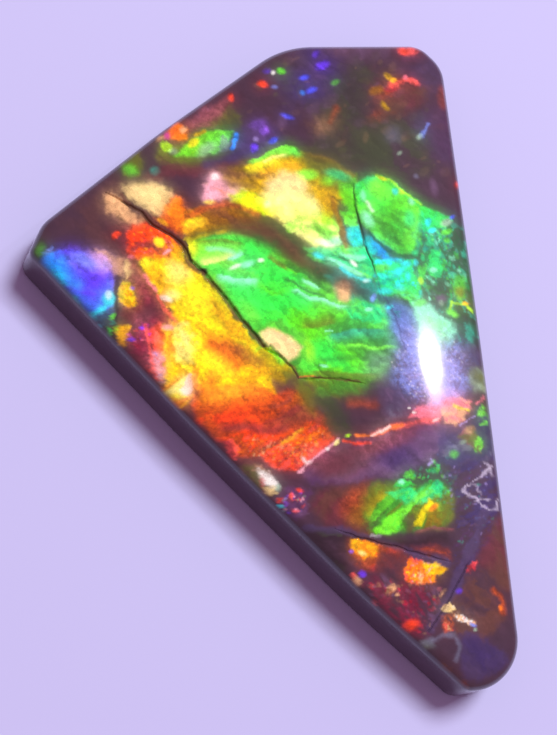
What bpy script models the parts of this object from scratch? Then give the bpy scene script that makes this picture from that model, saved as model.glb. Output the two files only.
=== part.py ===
"""A polished freeform of ammolite: fossil ammonite shell on dark shale, with a flat back to rest on."""
import math

import bmesh
import bpy
from mathutils import Vector

MM = 0.001

# Heights and profile
THICKNESS = 3.0 * MM  # flat back to the top of the crown
CROWN_RISE = 0.55 * MM  # rim of the polished top to its middle
CROWN_REACH = 4.5  # how far in from a side the crown keeps rising, in millimetres
CORNER_SOFTNESS = 2.5  # lower gives level lines that are rounder at the corners
SHOULDER_RADIUS = 0.6 * MM  # round between the wall and the top
WALL_LEAN = 0.15 * MM  # how far the wall's top stands in from its foot
FOOT_CHAMFER = 0.2 * MM  # narrow bevel round the flat back

# Plan outline, clockwise from the left corner: x, y and the radius of the round there, in millimetres
OUTLINE = (
    (-9.86, 4.92, 0.6),
    (-9.20, 6.35, 1.7),
    (-4.20, 10.55, 40.0),
    (1.45, 14.85, 4.6),
    (7.95, 15.30, 1.4),
    (9.10, 14.15, 1.7),
    (9.53, 1.00, 600.0),
    (9.72, -13.30, 2.25),
    (7.00, -13.24, 0.8),
    (3.10, -9.45, 60.0),
    (-3.60, -2.20, 80.0),
)
CROWN_MIDDLE = (1.5, 4.1)  # where the crown is highest, in millimetres

# Mesh fineness
ARC_STEP = math.radians(9.0)
EDGE_STEP = 1.3  # longest straight step along the outline, in millimetres
SHOULDER_STEPS = 5
LEAST_DEPTH = 0.001  # depth inside a side that counts as none, in millimetres
LEAST_ROUND = 0.15  # radius that a round keeps however far it is set in, in millimetres
CROWN_RINGS = (0.07, 0.18, 0.32, 0.48, 0.65, 0.82)  # share of the way from the rim to the middle
SHARP_ANGLE = math.radians(35.0)

# Open fractures: points of the line in millimetres, its width and its depth
MAIN_FRACTURE = (
    (-6.75, 7.55), (-6.15, 7.25), (-5.75, 6.95), (-5.2, 6.65), (-4.75, 6.05), (-4.05, 5.6),
    (-3.55, 5.2), (-3.3, 4.55), (-2.75, 4.0), (-2.35, 3.45), (-1.85, 2.85), (-1.35, 2.05),
    (-0.85, 1.45), (-0.45, 0.85), (0.2, 0.45), (0.6, 0.05), (0.85, -0.45),
)
MAIN_WIDTH = 0.17 * MM
MAIN_DEPTH = 0.13 * MM
SIDE_FRACTURES = (
    ((0.85, -0.45), (1.7, -0.42), (2.6, -0.45), (3.6, -0.7)),
    ((3.9, 7.9), (3.85, 7.0), (4.1, 5.9), (4.2, 5.1), (4.5, 4.2)),
    ((7.55, -7.95), (6.95, -8.75), (6.35, -9.65), (5.6, -10.6), (5.05, -11.1)),
    ((2.0, -6.5), (3.2, -6.95), (4.4, -7.3), (5.6, -7.7), (6.6, -8.0)),
)
SIDE_WIDTH = 0.10 * MM
SIDE_DEPTH = 0.07 * MM
CUTTER_RISE = 0.25 * MM  # how far a cutter stands above the surface that it cuts
END_TAPER = 0.35  # share of its width and depth that a fracture keeps at its ends

# Hollows in the polish: middle x and y in millimetres, then the half-lengths and the depth
GRAIN_PIT = (-5.85, 6.98, 0.24 * MM, 0.20 * MM, 0.14 * MM)
EDGE_CHIP = (8.65, -5.25, 0.75 * MM, 0.85 * MM, 0.12 * MM)
BALL_DEPTHS = 2.0  # half-height of the ball that cuts a hollow, in depths of the hollow
BALL_SEGMENTS = 14
BALL_RINGS = 8

STONE_COLOUR = (0.13, 0.17, 0.06, 1.0)
STONE_ROUGHNESS = 0.12
STONE_METALLIC = 0.35

RIM_INSET = (WALL_LEAN + SHOULDER_RADIUS) / MM
RIM_HEIGHT = THICKNESS - CROWN_RISE
MIDDLE = Vector(CROWN_MIDDLE)


def clear_scene():
    """Removes whatever the open file holds."""
    for item in list(bpy.data.objects):
        bpy.data.objects.remove(item, do_unlink=True)


def inset_corners(inset):
    """The outline's corners with every side moved in by inset, in millimetres."""
    points = [Vector(corner[:2]) for corner in OUTLINE]
    count = len(points)
    sides = []
    for index, start in enumerate(points):
        along = (points[(index + 1) % count] - start).normalized()
        inward = Vector((along.y, -along.x))
        sides.append((start + inward * inset, along))
    corners = []
    for index, corner in enumerate(OUTLINE):
        (before, u), (after, v) = sides[index - 1], sides[index]
        gap = after - before
        reach = (gap.x * v.y - gap.y * v.x) / (u.x * v.y - u.y * v.x)
        corners.append((before + u * reach, max(corner[2] - inset, LEAST_ROUND)))
    return corners


def outline_loop(inset=0.0):
    """Points round the outline in millimetres, the same number for every inset."""
    corners = inset_corners(inset)
    base = inset_corners(0.0)
    count = len(corners)
    arcs = []
    for index, (corner, radius) in enumerate(corners):
        u = (corner - corners[index - 1][0]).normalized()
        v = (corners[(index + 1) % count][0] - corner).normalized()
        turn = u.angle(v)
        reach = radius * math.tan(turn / 2)
        start = corner - u * reach
        middle = start + Vector((u.y, -u.x)) * radius
        steps = max(2, math.ceil(turn / ARC_STEP))
        spoke = start - middle
        arc = []
        for step in range(steps + 1):
            angle = -turn * step / steps
            cos, sin = math.cos(angle), math.sin(angle)
            arc.append(middle + Vector((spoke.x * cos - spoke.y * sin, spoke.x * sin + spoke.y * cos)))
        arcs.append(arc)
    loop = []
    for index, arc in enumerate(arcs):
        loop += arc
        following = arcs[(index + 1) % count][0]
        span = (base[(index + 1) % count][0] - base[index][0]).length
        pieces = max(1, round(span / EDGE_STEP))
        for step in range(1, pieces):
            loop.append(arc[-1].lerp(following, step / pieces))
    return loop


def plan_centre():
    """Middle of the outline's box, which becomes the part's origin, in millimetres."""
    loop = outline_loop()
    xs = [point.x for point in loop]
    ys = [point.y for point in loop]
    return Vector(((min(xs) + max(xs)) / 2, (min(ys) + max(ys)) / 2))


def crown_weight(point):
    """0 on the sides of the polished top, rising smoothly to nearly 1 well inside them."""
    corners = [corner for corner, _ in inset_corners(RIM_INSET)]
    crowding = 0.0
    for index, start in enumerate(corners):
        along = (corners[(index + 1) % len(corners)] - start).normalized()
        depth = (point - start).dot(Vector((along.y, -along.x)))
        crowding += max(depth, LEAST_DEPTH) ** -CORNER_SOFTNESS
    return math.tanh(crowding ** (-1.0 / CORNER_SOFTNESS) / CROWN_REACH)


def top_height(point):
    """Height of the polished top over a plan point."""
    return RIM_HEIGHT + CROWN_RISE * crown_weight(point) / PEAK_WEIGHT


CENTRE = plan_centre()
PEAK_WEIGHT = crown_weight(MIDDLE)


def placed(point, height):
    """A plan point in millimetres and a height in metres, as a place in the part's frame."""
    return Vector(((point.x - CENTRE.x) * MM, (point.y - CENTRE.y) * MM, height))


def side_profile():
    """Inset in millimetres and height in metres of each ring, from the flat back up to the rim."""
    lean = WALL_LEAN / MM
    shoulder = SHOULDER_RADIUS / MM
    rings = [(FOOT_CHAMFER / MM, 0.0), (0.0, FOOT_CHAMFER)]
    for step in range(SHOULDER_STEPS + 1):
        angle = math.pi / 2 * step / SHOULDER_STEPS
        inset = lean + shoulder * (1.0 - math.cos(angle))
        rings.append((inset, RIM_HEIGHT - SHOULDER_RADIUS * (1.0 - math.sin(angle))))
    return rings


def bridge(bm, lower, upper):
    """A band of four-sided faces between two rings, facing outwards."""
    count = len(lower)
    for index in range(count):
        after = (index + 1) % count
        bm.faces.new((lower[after], lower[index], upper[index], upper[after]))


def stone_mesh():
    """The stone before its fractures: flat back, leaning wall, round shoulder and crowned top."""
    bm = bmesh.new()
    rings = []
    for inset, height in side_profile():
        rings.append([bm.verts.new(placed(point, height)) for point in outline_loop(inset)])
    rim = outline_loop(RIM_INSET)
    for share in CROWN_RINGS:
        inner = [point.lerp(MIDDLE, share) for point in rim]
        rings.append([bm.verts.new(placed(point, top_height(point))) for point in inner])
    for lower, upper in zip(rings, rings[1:]):
        bridge(bm, lower, upper)
    bm.faces.new(rings[0])
    peak = bm.verts.new(placed(MIDDLE, THICKNESS))
    last = rings[-1]
    for index, vert in enumerate(last):
        bm.faces.new((last[(index + 1) % len(last)], vert, peak))
    bmesh.ops.recalc_face_normals(bm, faces=bm.faces)
    mesh = bpy.data.meshes.new("ammolite_stone")
    bm.to_mesh(mesh)
    bm.free()
    mesh.shade_smooth()
    mesh.set_sharp_from_angle(angle=SHARP_ANGLE)
    return mesh


def stone_material():
    """Dark polished stone with the green and brown of its shell layer."""
    material = bpy.data.materials.new("ammolite")
    material.use_nodes = True
    shader = material.node_tree.nodes["Principled BSDF"]
    shader.inputs["Base Color"].default_value = STONE_COLOUR
    shader.inputs["Roughness"].default_value = STONE_ROUGHNESS
    shader.inputs["Metallic"].default_value = STONE_METALLIC
    return material


def groove_mesh(name, path, width, depth):
    """A cutter of V section that follows a line over the crown, closed at both ends."""
    points = [Vector(point) for point in path]
    bm = bmesh.new()
    sections = []
    for index, point in enumerate(points):
        ahead = points[min(index + 1, len(points) - 1)] - points[max(index - 1, 0)]
        across = Vector((-ahead.y, ahead.x)).normalized() * (width / MM / 2)
        surface = top_height(point)
        taper = END_TAPER if index in (0, len(points) - 1) else 1.0
        spread = 1.0 + CUTTER_RISE / depth
        left = placed(point + across * (spread * taper), surface + CUTTER_RISE)
        right = placed(point - across * (spread * taper), surface + CUTTER_RISE)
        bottom = placed(point, surface - depth * taper)
        sections.append([bm.verts.new(corner) for corner in (left, right, bottom)])
    for near, far in zip(sections, sections[1:]):
        for corner in range(3):
            after = (corner + 1) % 3
            bm.faces.new((near[corner], near[after], far[after], far[corner]))
    bm.faces.new(sections[0])
    bm.faces.new(reversed(sections[-1]))
    bmesh.ops.recalc_face_normals(bm, faces=bm.faces)
    mesh = bpy.data.meshes.new(name)
    bm.to_mesh(mesh)
    bm.free()
    return mesh


def hollow_mesh(name, hollow):
    """A cutter for a shallow round hollow: a flattened ball whose lower cap reaches the depth."""
    x, y, half_x, half_y, depth = hollow
    point = Vector((x, y))
    ball_depth = BALL_DEPTHS * depth
    bm = bmesh.new()
    bmesh.ops.create_uvsphere(bm, u_segments=BALL_SEGMENTS, v_segments=BALL_RINGS, radius=1.0)
    widen = 1.0 / math.sqrt(1.0 - (1.0 - 1.0 / BALL_DEPTHS) ** 2)
    bmesh.ops.scale(bm, verts=bm.verts, vec=(half_x * widen, half_y * widen, ball_depth))
    level = top_height(point) - depth + ball_depth
    bmesh.ops.translate(bm, verts=bm.verts, vec=placed(point, level))
    mesh = bpy.data.meshes.new(name)
    bm.to_mesh(mesh)
    bm.free()
    return mesh


def cut(stone, mesh):
    """Takes the shape of mesh out of the stone, with the solver that copes with cuts this fine."""
    cutter = bpy.data.objects.new(mesh.name, mesh)
    bpy.context.scene.collection.objects.link(cutter)
    cutter.hide_render = True
    cutter.display_type = "WIRE"
    modifier = stone.modifiers.new(mesh.name, "BOOLEAN")
    modifier.operation = "DIFFERENCE"
    modifier.solver = "MANIFOLD"
    modifier.object = cutter


def build():
    """Makes the stone and cuts its fractures and hollows."""
    clear_scene()
    stone = bpy.data.objects.new("ammolite_stone", stone_mesh())
    bpy.context.scene.collection.objects.link(stone)
    stone.data.materials.append(stone_material())
    cut(stone, groove_mesh("main_fracture", MAIN_FRACTURE, MAIN_WIDTH, MAIN_DEPTH))
    for number, path in enumerate(SIDE_FRACTURES, start=1):
        cut(stone, groove_mesh(f"side_fracture_{number}", path, SIDE_WIDTH, SIDE_DEPTH))
    cut(stone, hollow_mesh("grain_pit", GRAIN_PIT))
    cut(stone, hollow_mesh("edge_chip", EDGE_CHIP))


build()
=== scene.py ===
"""Dressed model of a polished ammolite freeform: iridescent fossil shell on dark shale, on a pale floor."""
from __future__ import annotations

import logging
import math
from collections.abc import Iterable
from dataclasses import dataclass, field, replace
from enum import Enum

import bpy
import numpy as np
from mathutils import Matrix, Vector
from mathutils.geometry import delaunay_2d_cdt


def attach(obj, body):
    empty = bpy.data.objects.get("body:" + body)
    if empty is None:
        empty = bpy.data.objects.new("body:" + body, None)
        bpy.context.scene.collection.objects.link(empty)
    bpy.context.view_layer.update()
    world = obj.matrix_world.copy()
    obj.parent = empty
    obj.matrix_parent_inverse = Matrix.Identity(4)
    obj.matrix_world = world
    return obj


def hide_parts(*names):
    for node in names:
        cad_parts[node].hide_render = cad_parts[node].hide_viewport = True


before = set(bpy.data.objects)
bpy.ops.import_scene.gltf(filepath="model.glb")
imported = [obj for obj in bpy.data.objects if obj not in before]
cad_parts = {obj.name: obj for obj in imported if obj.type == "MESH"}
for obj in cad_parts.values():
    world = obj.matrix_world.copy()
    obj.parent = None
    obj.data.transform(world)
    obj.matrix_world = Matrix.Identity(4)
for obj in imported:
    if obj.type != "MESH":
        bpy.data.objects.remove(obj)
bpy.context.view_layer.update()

LOG = logging.getLogger("ammolite")

Pair = tuple[float, float]
Path = tuple[float, ...]

MM = 0.001
SEED = 7
TINY = 1e-9


class Tint(Enum):
    """Colours of the shell and the shale, as displayed red, green and blue out of 255."""

    INK = (36, 22, 32)
    SHALE = (68, 46, 62)
    SMOKE = (58, 52, 52)
    DUSK = (78, 62, 100)
    MOSS = (58, 72, 42)
    UMBER = (104, 62, 48)
    MAROON = (108, 46, 54)
    WINE = (132, 30, 62)
    ROSEWOOD = (156, 84, 92)
    RUST = (184, 76, 30)
    BRONZE = (150, 96, 20)
    GOLD = (206, 160, 24)
    OLIVE = (112, 118, 34)
    FOREST = (34, 84, 44)
    FERN = (66, 156, 50)
    SLATE = (120, 120, 146)
    STEEL = (84, 108, 176)
    MAUVE = (124, 92, 128)
    PLUM = (84, 50, 96)
    NAVY = (58, 46, 104)
    VIOLET = (104, 58, 240)
    AMETHYST = (144, 92, 224)
    INDIGO = (70, 84, 244)
    PERI = (126, 152, 244)
    AZURE = (44, 140, 255)
    CYAN = (60, 236, 244)
    TEAL = (30, 160, 140)
    SEA = (60, 180, 150)
    JADE = (46, 212, 128)
    EMERALD = (66, 232, 84)
    LEAF = (98, 216, 52)
    GRASS = (128, 248, 70)
    LIME = (188, 252, 52)
    MINT = (160, 255, 214)
    SAGE = (158, 186, 160)
    YELLOW = (255, 238, 44)
    PALE = (255, 252, 150)
    AMBER = (255, 186, 34)
    ORANGE = (255, 128, 34)
    SCARLET = (242, 68, 28)
    CRIMSON = (214, 34, 56)
    CORAL = (255, 96, 84)
    ROSE = (246, 122, 140)
    PINK = (252, 180, 196)
    BLUSH = (240, 184, 244)
    MAGENTA = (208, 60, 170)
    LILAC = (188, 168, 236)
    CREAM = (250, 222, 150)
    PEACH = (242, 188, 134)
    TAN = (200, 150, 110)
    LINEN = (196, 184, 208)
    WHITE = (255, 253, 246)

    def linear(self) -> np.ndarray:
        """The colour as three linear shares of light."""
        share = np.array(self.value) / 255.0
        return np.where(share <= 0.04045, share / 12.92, ((share + 0.055) / 1.055) ** 2.4)


class Noise:
    """Smooth seeded noise over plan points, in units of its cell size."""

    LATTICE = 256
    SMOOTH_START = 61.7
    FLAKE_START = 83.1
    FLAKE_MIDDLES = (0.15, 0.85)
    OCTAVE_START = 17.3
    OCTAVE_SHARE = 0.55
    OCTAVE_TOTAL = 1.6

    def __init__(self, seed: int) -> None:
        """Draws the lattice of random values that the noise runs through."""
        rng = np.random.default_rng(seed)
        self.values = rng.uniform(-1.0, 1.0, (self.LATTICE, self.LATTICE))
        self.shifts = rng.uniform(*self.FLAKE_MIDDLES, (self.LATTICE, self.LATTICE, 2))
        self.picks = rng.uniform(0.0, 1.0, (self.LATTICE, self.LATTICE))

    def smooth(self, places: np.ndarray, size: float) -> np.ndarray:
        """One octave of noise between -1 and 1.

        Args:
            places: plan points, one row each, in millimetres.
            size: cell size in millimetres.

        Returns:
            One value for each point.
        """
        scaled = places / size + self.SMOOTH_START
        cell = np.floor(scaled).astype(int)
        part = scaled - cell
        ease = part * part * part * (part * (part * 6.0 - 15.0) + 10.0)
        x0, y0 = cell[:, 0] % self.LATTICE, cell[:, 1] % self.LATTICE
        x1, y1 = (x0 + 1) % self.LATTICE, (y0 + 1) % self.LATTICE
        low = self.values[x0, y0] * (1.0 - ease[:, 0]) + self.values[x1, y0] * ease[:, 0]
        high = self.values[x0, y1] * (1.0 - ease[:, 0]) + self.values[x1, y1] * ease[:, 0]
        return low * (1.0 - ease[:, 1]) + high * ease[:, 1]

    def rough(self, places: np.ndarray, size: float, octaves: int = 4) -> np.ndarray:
        """Several octaves of noise added up, roughly between -1 and 1.

        Args:
            places: plan points, one row each, in millimetres.
            size: cell size of the coarsest octave in millimetres.
            octaves: how many octaves are added.

        Returns:
            One value for each point.
        """
        total = np.zeros(len(places))
        share = 1.0
        for octave in range(octaves):
            total += share * self.smooth(places + self.OCTAVE_START * octave, size / 2.0 ** octave)
            share *= self.OCTAVE_SHARE
        return total / self.OCTAVE_TOTAL

    def flakes(self, places: np.ndarray, size: float) -> np.ndarray:
        """A random value from 0 to 1 for each irregular flake of about the given size.

        Args:
            places: plan points, one row each, in millimetres.
            size: flake size in millimetres.

        Returns:
            The value of the flake that each point lies in.
        """
        scaled = places / size + self.FLAKE_START
        cell = np.floor(scaled).astype(int)
        nearest = np.full(len(places), np.inf)
        chosen = np.zeros(len(places))
        for dx in (-1, 0, 1):
            for dy in (-1, 0, 1):
                x, y = (cell[:, 0] + dx) % self.LATTICE, (cell[:, 1] + dy) % self.LATTICE
                middle = cell + (dx, dy) + self.shifts[x, y]
                apart = ((scaled - middle) ** 2).sum(axis=1)
                closer = apart < nearest
                nearest[closer] = apart[closer]
                chosen[closer] = self.picks[x, y][closer]
        return chosen


def rise(value: np.ndarray, low: float, high: float) -> np.ndarray:
    """Smooth step over the values, from 0 at low to 1 at high."""
    share = np.clip((value - low) / (high - low), 0.0, 1.0)
    return share * share * (3.0 - 2.0 * share)


def rows(path: Path) -> np.ndarray:
    """A run of x and y in turn as plan points, one row each."""
    return np.array(path).reshape(-1, 2)


def turned(points: np.ndarray, turn: float, long: float = 1.0, wide: float = 1.0) -> np.ndarray:
    """Plan points read along and across a direction in degrees, in two units of length."""
    cos, sin = math.cos(math.radians(turn)), math.sin(math.radians(turn))
    along = points[:, 0] * cos + points[:, 1] * sin
    across = points[:, 1] * cos - points[:, 0] * sin
    return np.stack((along / long, across / wide), axis=1)


def wander(noise: Noise, places: np.ndarray, size: float, octaves: int, shift: float) -> np.ndarray:
    """Smooth sideways shifts for plan points, from one noise read at two places a shift apart."""
    return np.stack([noise.rough(places + start, size, octaves) for start in (0.0, shift)], axis=1)


def direction(heading: float, lean: float) -> Vector:
    """Unit direction by its heading in plan and its lean from straight up, both in radians."""
    return Vector((math.sin(lean) * math.cos(heading), math.sin(lean) * math.sin(heading), math.cos(lean)))


@dataclass
class Outline:
    """Plan outline of the stone: straight sides and rounded corners, clockwise from the left corner."""

    corners: tuple[tuple[float, float, float], ...] = (
        (-9.86, 4.92, 0.6),
        (-9.20, 6.35, 1.7),
        (-4.20, 10.55, 40.0),
        (1.45, 14.85, 4.6),
        (7.95, 15.30, 1.4),
        (9.10, 14.15, 1.7),
        (9.53, 1.00, 600.0),
        (9.72, -13.30, 2.25),
        (7.00, -13.24, 0.8),
        (3.10, -9.45, 60.0),
        (-3.60, -2.20, 80.0),
    )
    step: float = 0.10
    arc_step: float = math.radians(6.0)
    least_round: float = 0.15
    least_steps: int = 2

    def inset_corners(self, inset: float) -> list[tuple[np.ndarray, float]]:
        """Corners and rounds of the outline with every side moved inwards.

        Args:
            inset: how far each side moves in, in millimetres.

        Returns:
            A corner point and its radius for each corner.
        """
        points = [np.array(corner[:2]) for corner in self.corners]
        sides = []
        for index, start in enumerate(points):
            along = points[(index + 1) % len(points)] - start
            along = along / np.linalg.norm(along)
            sides.append((start + np.array((along[1], -along[0])) * inset, along))
        found = []
        for index, corner in enumerate(self.corners):
            (before, u), (after, v) = sides[index - 1], sides[index]
            gap = after - before
            reach = (gap[0] * v[1] - gap[1] * v[0]) / (u[0] * v[1] - u[1] * v[0])
            found.append((before + u * reach, max(corner[2] - inset, self.least_round)))
        return found

    def arcs(self, inset: float) -> list[np.ndarray]:
        """Points of each corner's round.

        Args:
            inset: how far the outline is moved in, in millimetres.

        Returns:
            One array of points for each corner, of the same length for every inset.
        """
        corners = self.inset_corners(inset)
        rounds = []
        for index, (corner, radius) in enumerate(corners):
            u = corner - corners[index - 1][0]
            v = corners[(index + 1) % len(corners)][0] - corner
            u, v = u / np.linalg.norm(u), v / np.linalg.norm(v)
            turn = math.acos(float(np.clip(u @ v, -1.0, 1.0)))
            start = corner - u * radius * math.tan(turn / 2.0)
            middle = start + np.array((u[1], -u[0])) * radius
            length = turn * self.corners[index][2]
            steps = max(self.least_steps, math.ceil(turn / self.arc_step), math.ceil(length / self.step))
            angles = -turn * np.arange(steps + 1) / steps
            spoke = start - middle
            across = np.array((-spoke[1], spoke[0]))
            rounds.append(middle + np.outer(np.cos(angles), spoke) + np.outer(np.sin(angles), across))
        return rounds

    def loop(self, inset: float = 0.0) -> np.ndarray:
        """Closed line of points round the outline.

        Args:
            inset: how far the line lies inside the outline, in millimetres.

        Returns:
            The points, the same number for every inset.
        """
        rounds, widest = self.arcs(inset), self.arcs(0.0)
        pieces = []
        for index, arc in enumerate(rounds):
            after = (index + 1) % len(rounds)
            span = np.linalg.norm(widest[after][0] - widest[index][-1])
            count = max(1, round(float(span) / self.step))
            shares = np.arange(1, count)[:, None] / count
            pieces.append(arc)
            pieces.append(arc[-1] * (1.0 - shares) + rounds[after][0] * shares)
        return np.vstack(pieces)

    def middle(self) -> np.ndarray:
        """Middle of the outline's box, which is the part's origin."""
        loop = self.loop()
        return (loop.min(axis=0) + loop.max(axis=0)) / 2.0

    def depths(self, places: np.ndarray, inset: float) -> np.ndarray:
        """How far each plan point lies inside each side.

        Args:
            places: plan points, one row each, in millimetres.
            inset: how far the sides are moved in, in millimetres.

        Returns:
            One row for each point and one column for each side.
        """
        corners = [corner for corner, _ in self.inset_corners(inset)]
        columns = []
        for index, start in enumerate(corners):
            along = corners[(index + 1) % len(corners)] - start
            along = along / np.linalg.norm(along)
            columns.append((places - start) @ np.array((along[1], -along[0])))
        return np.stack(columns, axis=1)


@dataclass
class Crown:
    """Rule of the polished top's height, in millimetres."""

    outline: Outline
    thickness: float = 3.0
    climb: float = 0.55
    reach: float = 4.5
    softness: float = 2.5
    rim_inset: float = 0.75
    peak: Pair = (1.5, 4.1)
    least_depth: float = 0.001

    @property
    def rim(self) -> float:
        """Height of the top's edge, where the shoulder ends."""
        return self.thickness - self.climb

    def weight(self, places: np.ndarray) -> np.ndarray:
        """Share of the climb over each plan point, before it is scaled to the peak."""
        depth = np.maximum(self.outline.depths(places, self.rim_inset), self.least_depth)
        return np.tanh((depth ** -self.softness).sum(axis=1) ** (-1.0 / self.softness) / self.reach)

    def height(self, places: np.ndarray) -> np.ndarray:
        """Height of the top over each plan point."""
        share = self.weight(places) / self.weight(np.array([self.peak]))[0]
        return self.rim + self.climb * share


@dataclass
class Sightline:
    """Camera of the picture, and how it reads plan places off the level plane through the crown's top."""

    centre: np.ndarray
    level: float = 3.0
    focal_pixels: float = 1300.0
    frame_height_pixels: float = 735.0
    distance: float = 52.0
    tilt: float = math.radians(20.8)
    heading: float = math.radians(-135.9)
    turn: float = math.radians(4.2)
    sensor: float = 36.0

    def axes(self) -> Matrix:
        """Rotation from the camera's own axes to the part's frame."""
        down = direction(self.heading, math.pi - self.tilt)
        across = Vector((1.0, 0.0, 0.0))
        across = (across - across.dot(down) * down).normalized()
        away = (-down).cross(across)
        first = math.cos(self.turn) * across + math.sin(self.turn) * away
        second = -math.sin(self.turn) * across + math.cos(self.turn) * away
        return Matrix((first, second, -down))

    def eye(self) -> Vector:
        """Place of the camera in millimetres in the plan's own frame."""
        return Vector((0.0, 0.0, self.level)) + self.axes() @ Vector((0.0, 0.0, self.distance))

    def reading(self, places: np.ndarray, heights: np.ndarray) -> np.ndarray:
        """Where the sight line through each surface point meets the level plane.

        Args:
            places: plan points of the surface, one row each, in millimetres.
            heights: their heights in millimetres.

        Returns:
            The plan points that the marks on the surface are listed by.
        """
        eye = self.eye()
        foot = np.array((eye.x, eye.y))
        share = (eye.z - self.level) / (eye.z - heights)
        return foot + (places - foot) * share[:, None]

    def camera(self) -> bpy.types.Object:
        """Adds the camera to the scene and returns it."""
        data = bpy.data.cameras.new("camera")
        data.sensor_width = self.sensor
        data.lens = self.focal_pixels / self.frame_height_pixels * self.sensor
        data.clip_start = MM
        camera = bpy.data.objects.new("camera", data)
        place = (self.eye() - Vector((*self.centre, 0.0))) * MM
        camera.matrix_world = Matrix.Translation(place) @ self.axes().to_4x4()
        bpy.context.scene.collection.objects.link(camera)
        bpy.context.scene.camera = camera
        return camera


@dataclass(frozen=True)
class Patch:
    """A patch of shell colour: its tints, its corners as x and y in turn, and its edge and flakes."""

    tints: tuple[Tint, ...]
    corners: Path
    soft: float = 0.12
    share: float = 0.9
    ragged: float = 0.12
    flake: float = 0.45
    turn: float = -40.0
    stretch: float = 1.6
    silk: float = 0.5


@dataclass(frozen=True)
class Streak:
    """A line of colour: its tint, its points as x and y in turn, its width and its strength."""

    tint: Tint
    path: Path
    width: float = 0.12
    share: float = 0.8
    soft: float = 0.05
    ragged: float = 0.05
    broken: float = 0.0


@dataclass(frozen=True)
class Spot:
    """A round or oval dab of colour: middle, half-lengths in millimetres and turn in degrees."""

    tint: Tint
    x: float
    y: float
    long: float
    wide: float
    turn: float = 0.0
    share: float = 0.8
    soft: float = 0.6


@dataclass(frozen=True)
class Specks:
    """Small scattered flakes of colour: where they lie, their number and their sizes in millimetres."""

    tints: tuple[Tint, ...]
    corners: Path
    count: int
    small: float = 0.05
    large: float = 0.12
    share: float = 0.6
    turn: float = -40.0


@dataclass(frozen=True)
class Fold:
    """A crease of the shell: crisp along its path, fading away over its width to the left of it."""

    tint: Tint
    path: Path
    width: float = 0.15
    share: float = 0.6
    crisp: float = 0.07


Mark = Patch | Streak | Spot | Specks | Fold


@dataclass(frozen=True)
class Foil:
    """How the shell's crumpled layers lie and the light and shade painted on them: sizes in millimetres, the
    rest as shares.
    """

    turn: float = -38.0
    stretch: float = 1.9
    wander: float = 0.22
    broad_size: float = 1.3
    broad_share: float = 0.7
    fine_size: float = 0.42
    fine_share: float = 0.3
    octaves: int = 3
    reach: float = 0.035
    slope_light: float = 0.06
    grain_size: float = 0.11
    grain_light: float = 0.08
    warm_grain_light: float = 0.24
    crease_shade: float = 0.14
    most: float = 0.5
    least_lit: float = 0.35
    pale_calm: float = 0.75
    crease_band: Pair = (0.93, 0.985)
    lit_band: Pair = (0.03, 0.3)
    warm_band: Pair = (0.0, 0.3)
    blue_band: Pair = (0.10, 0.28)
    pale_band: Pair = (0.10, 0.25)


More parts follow.
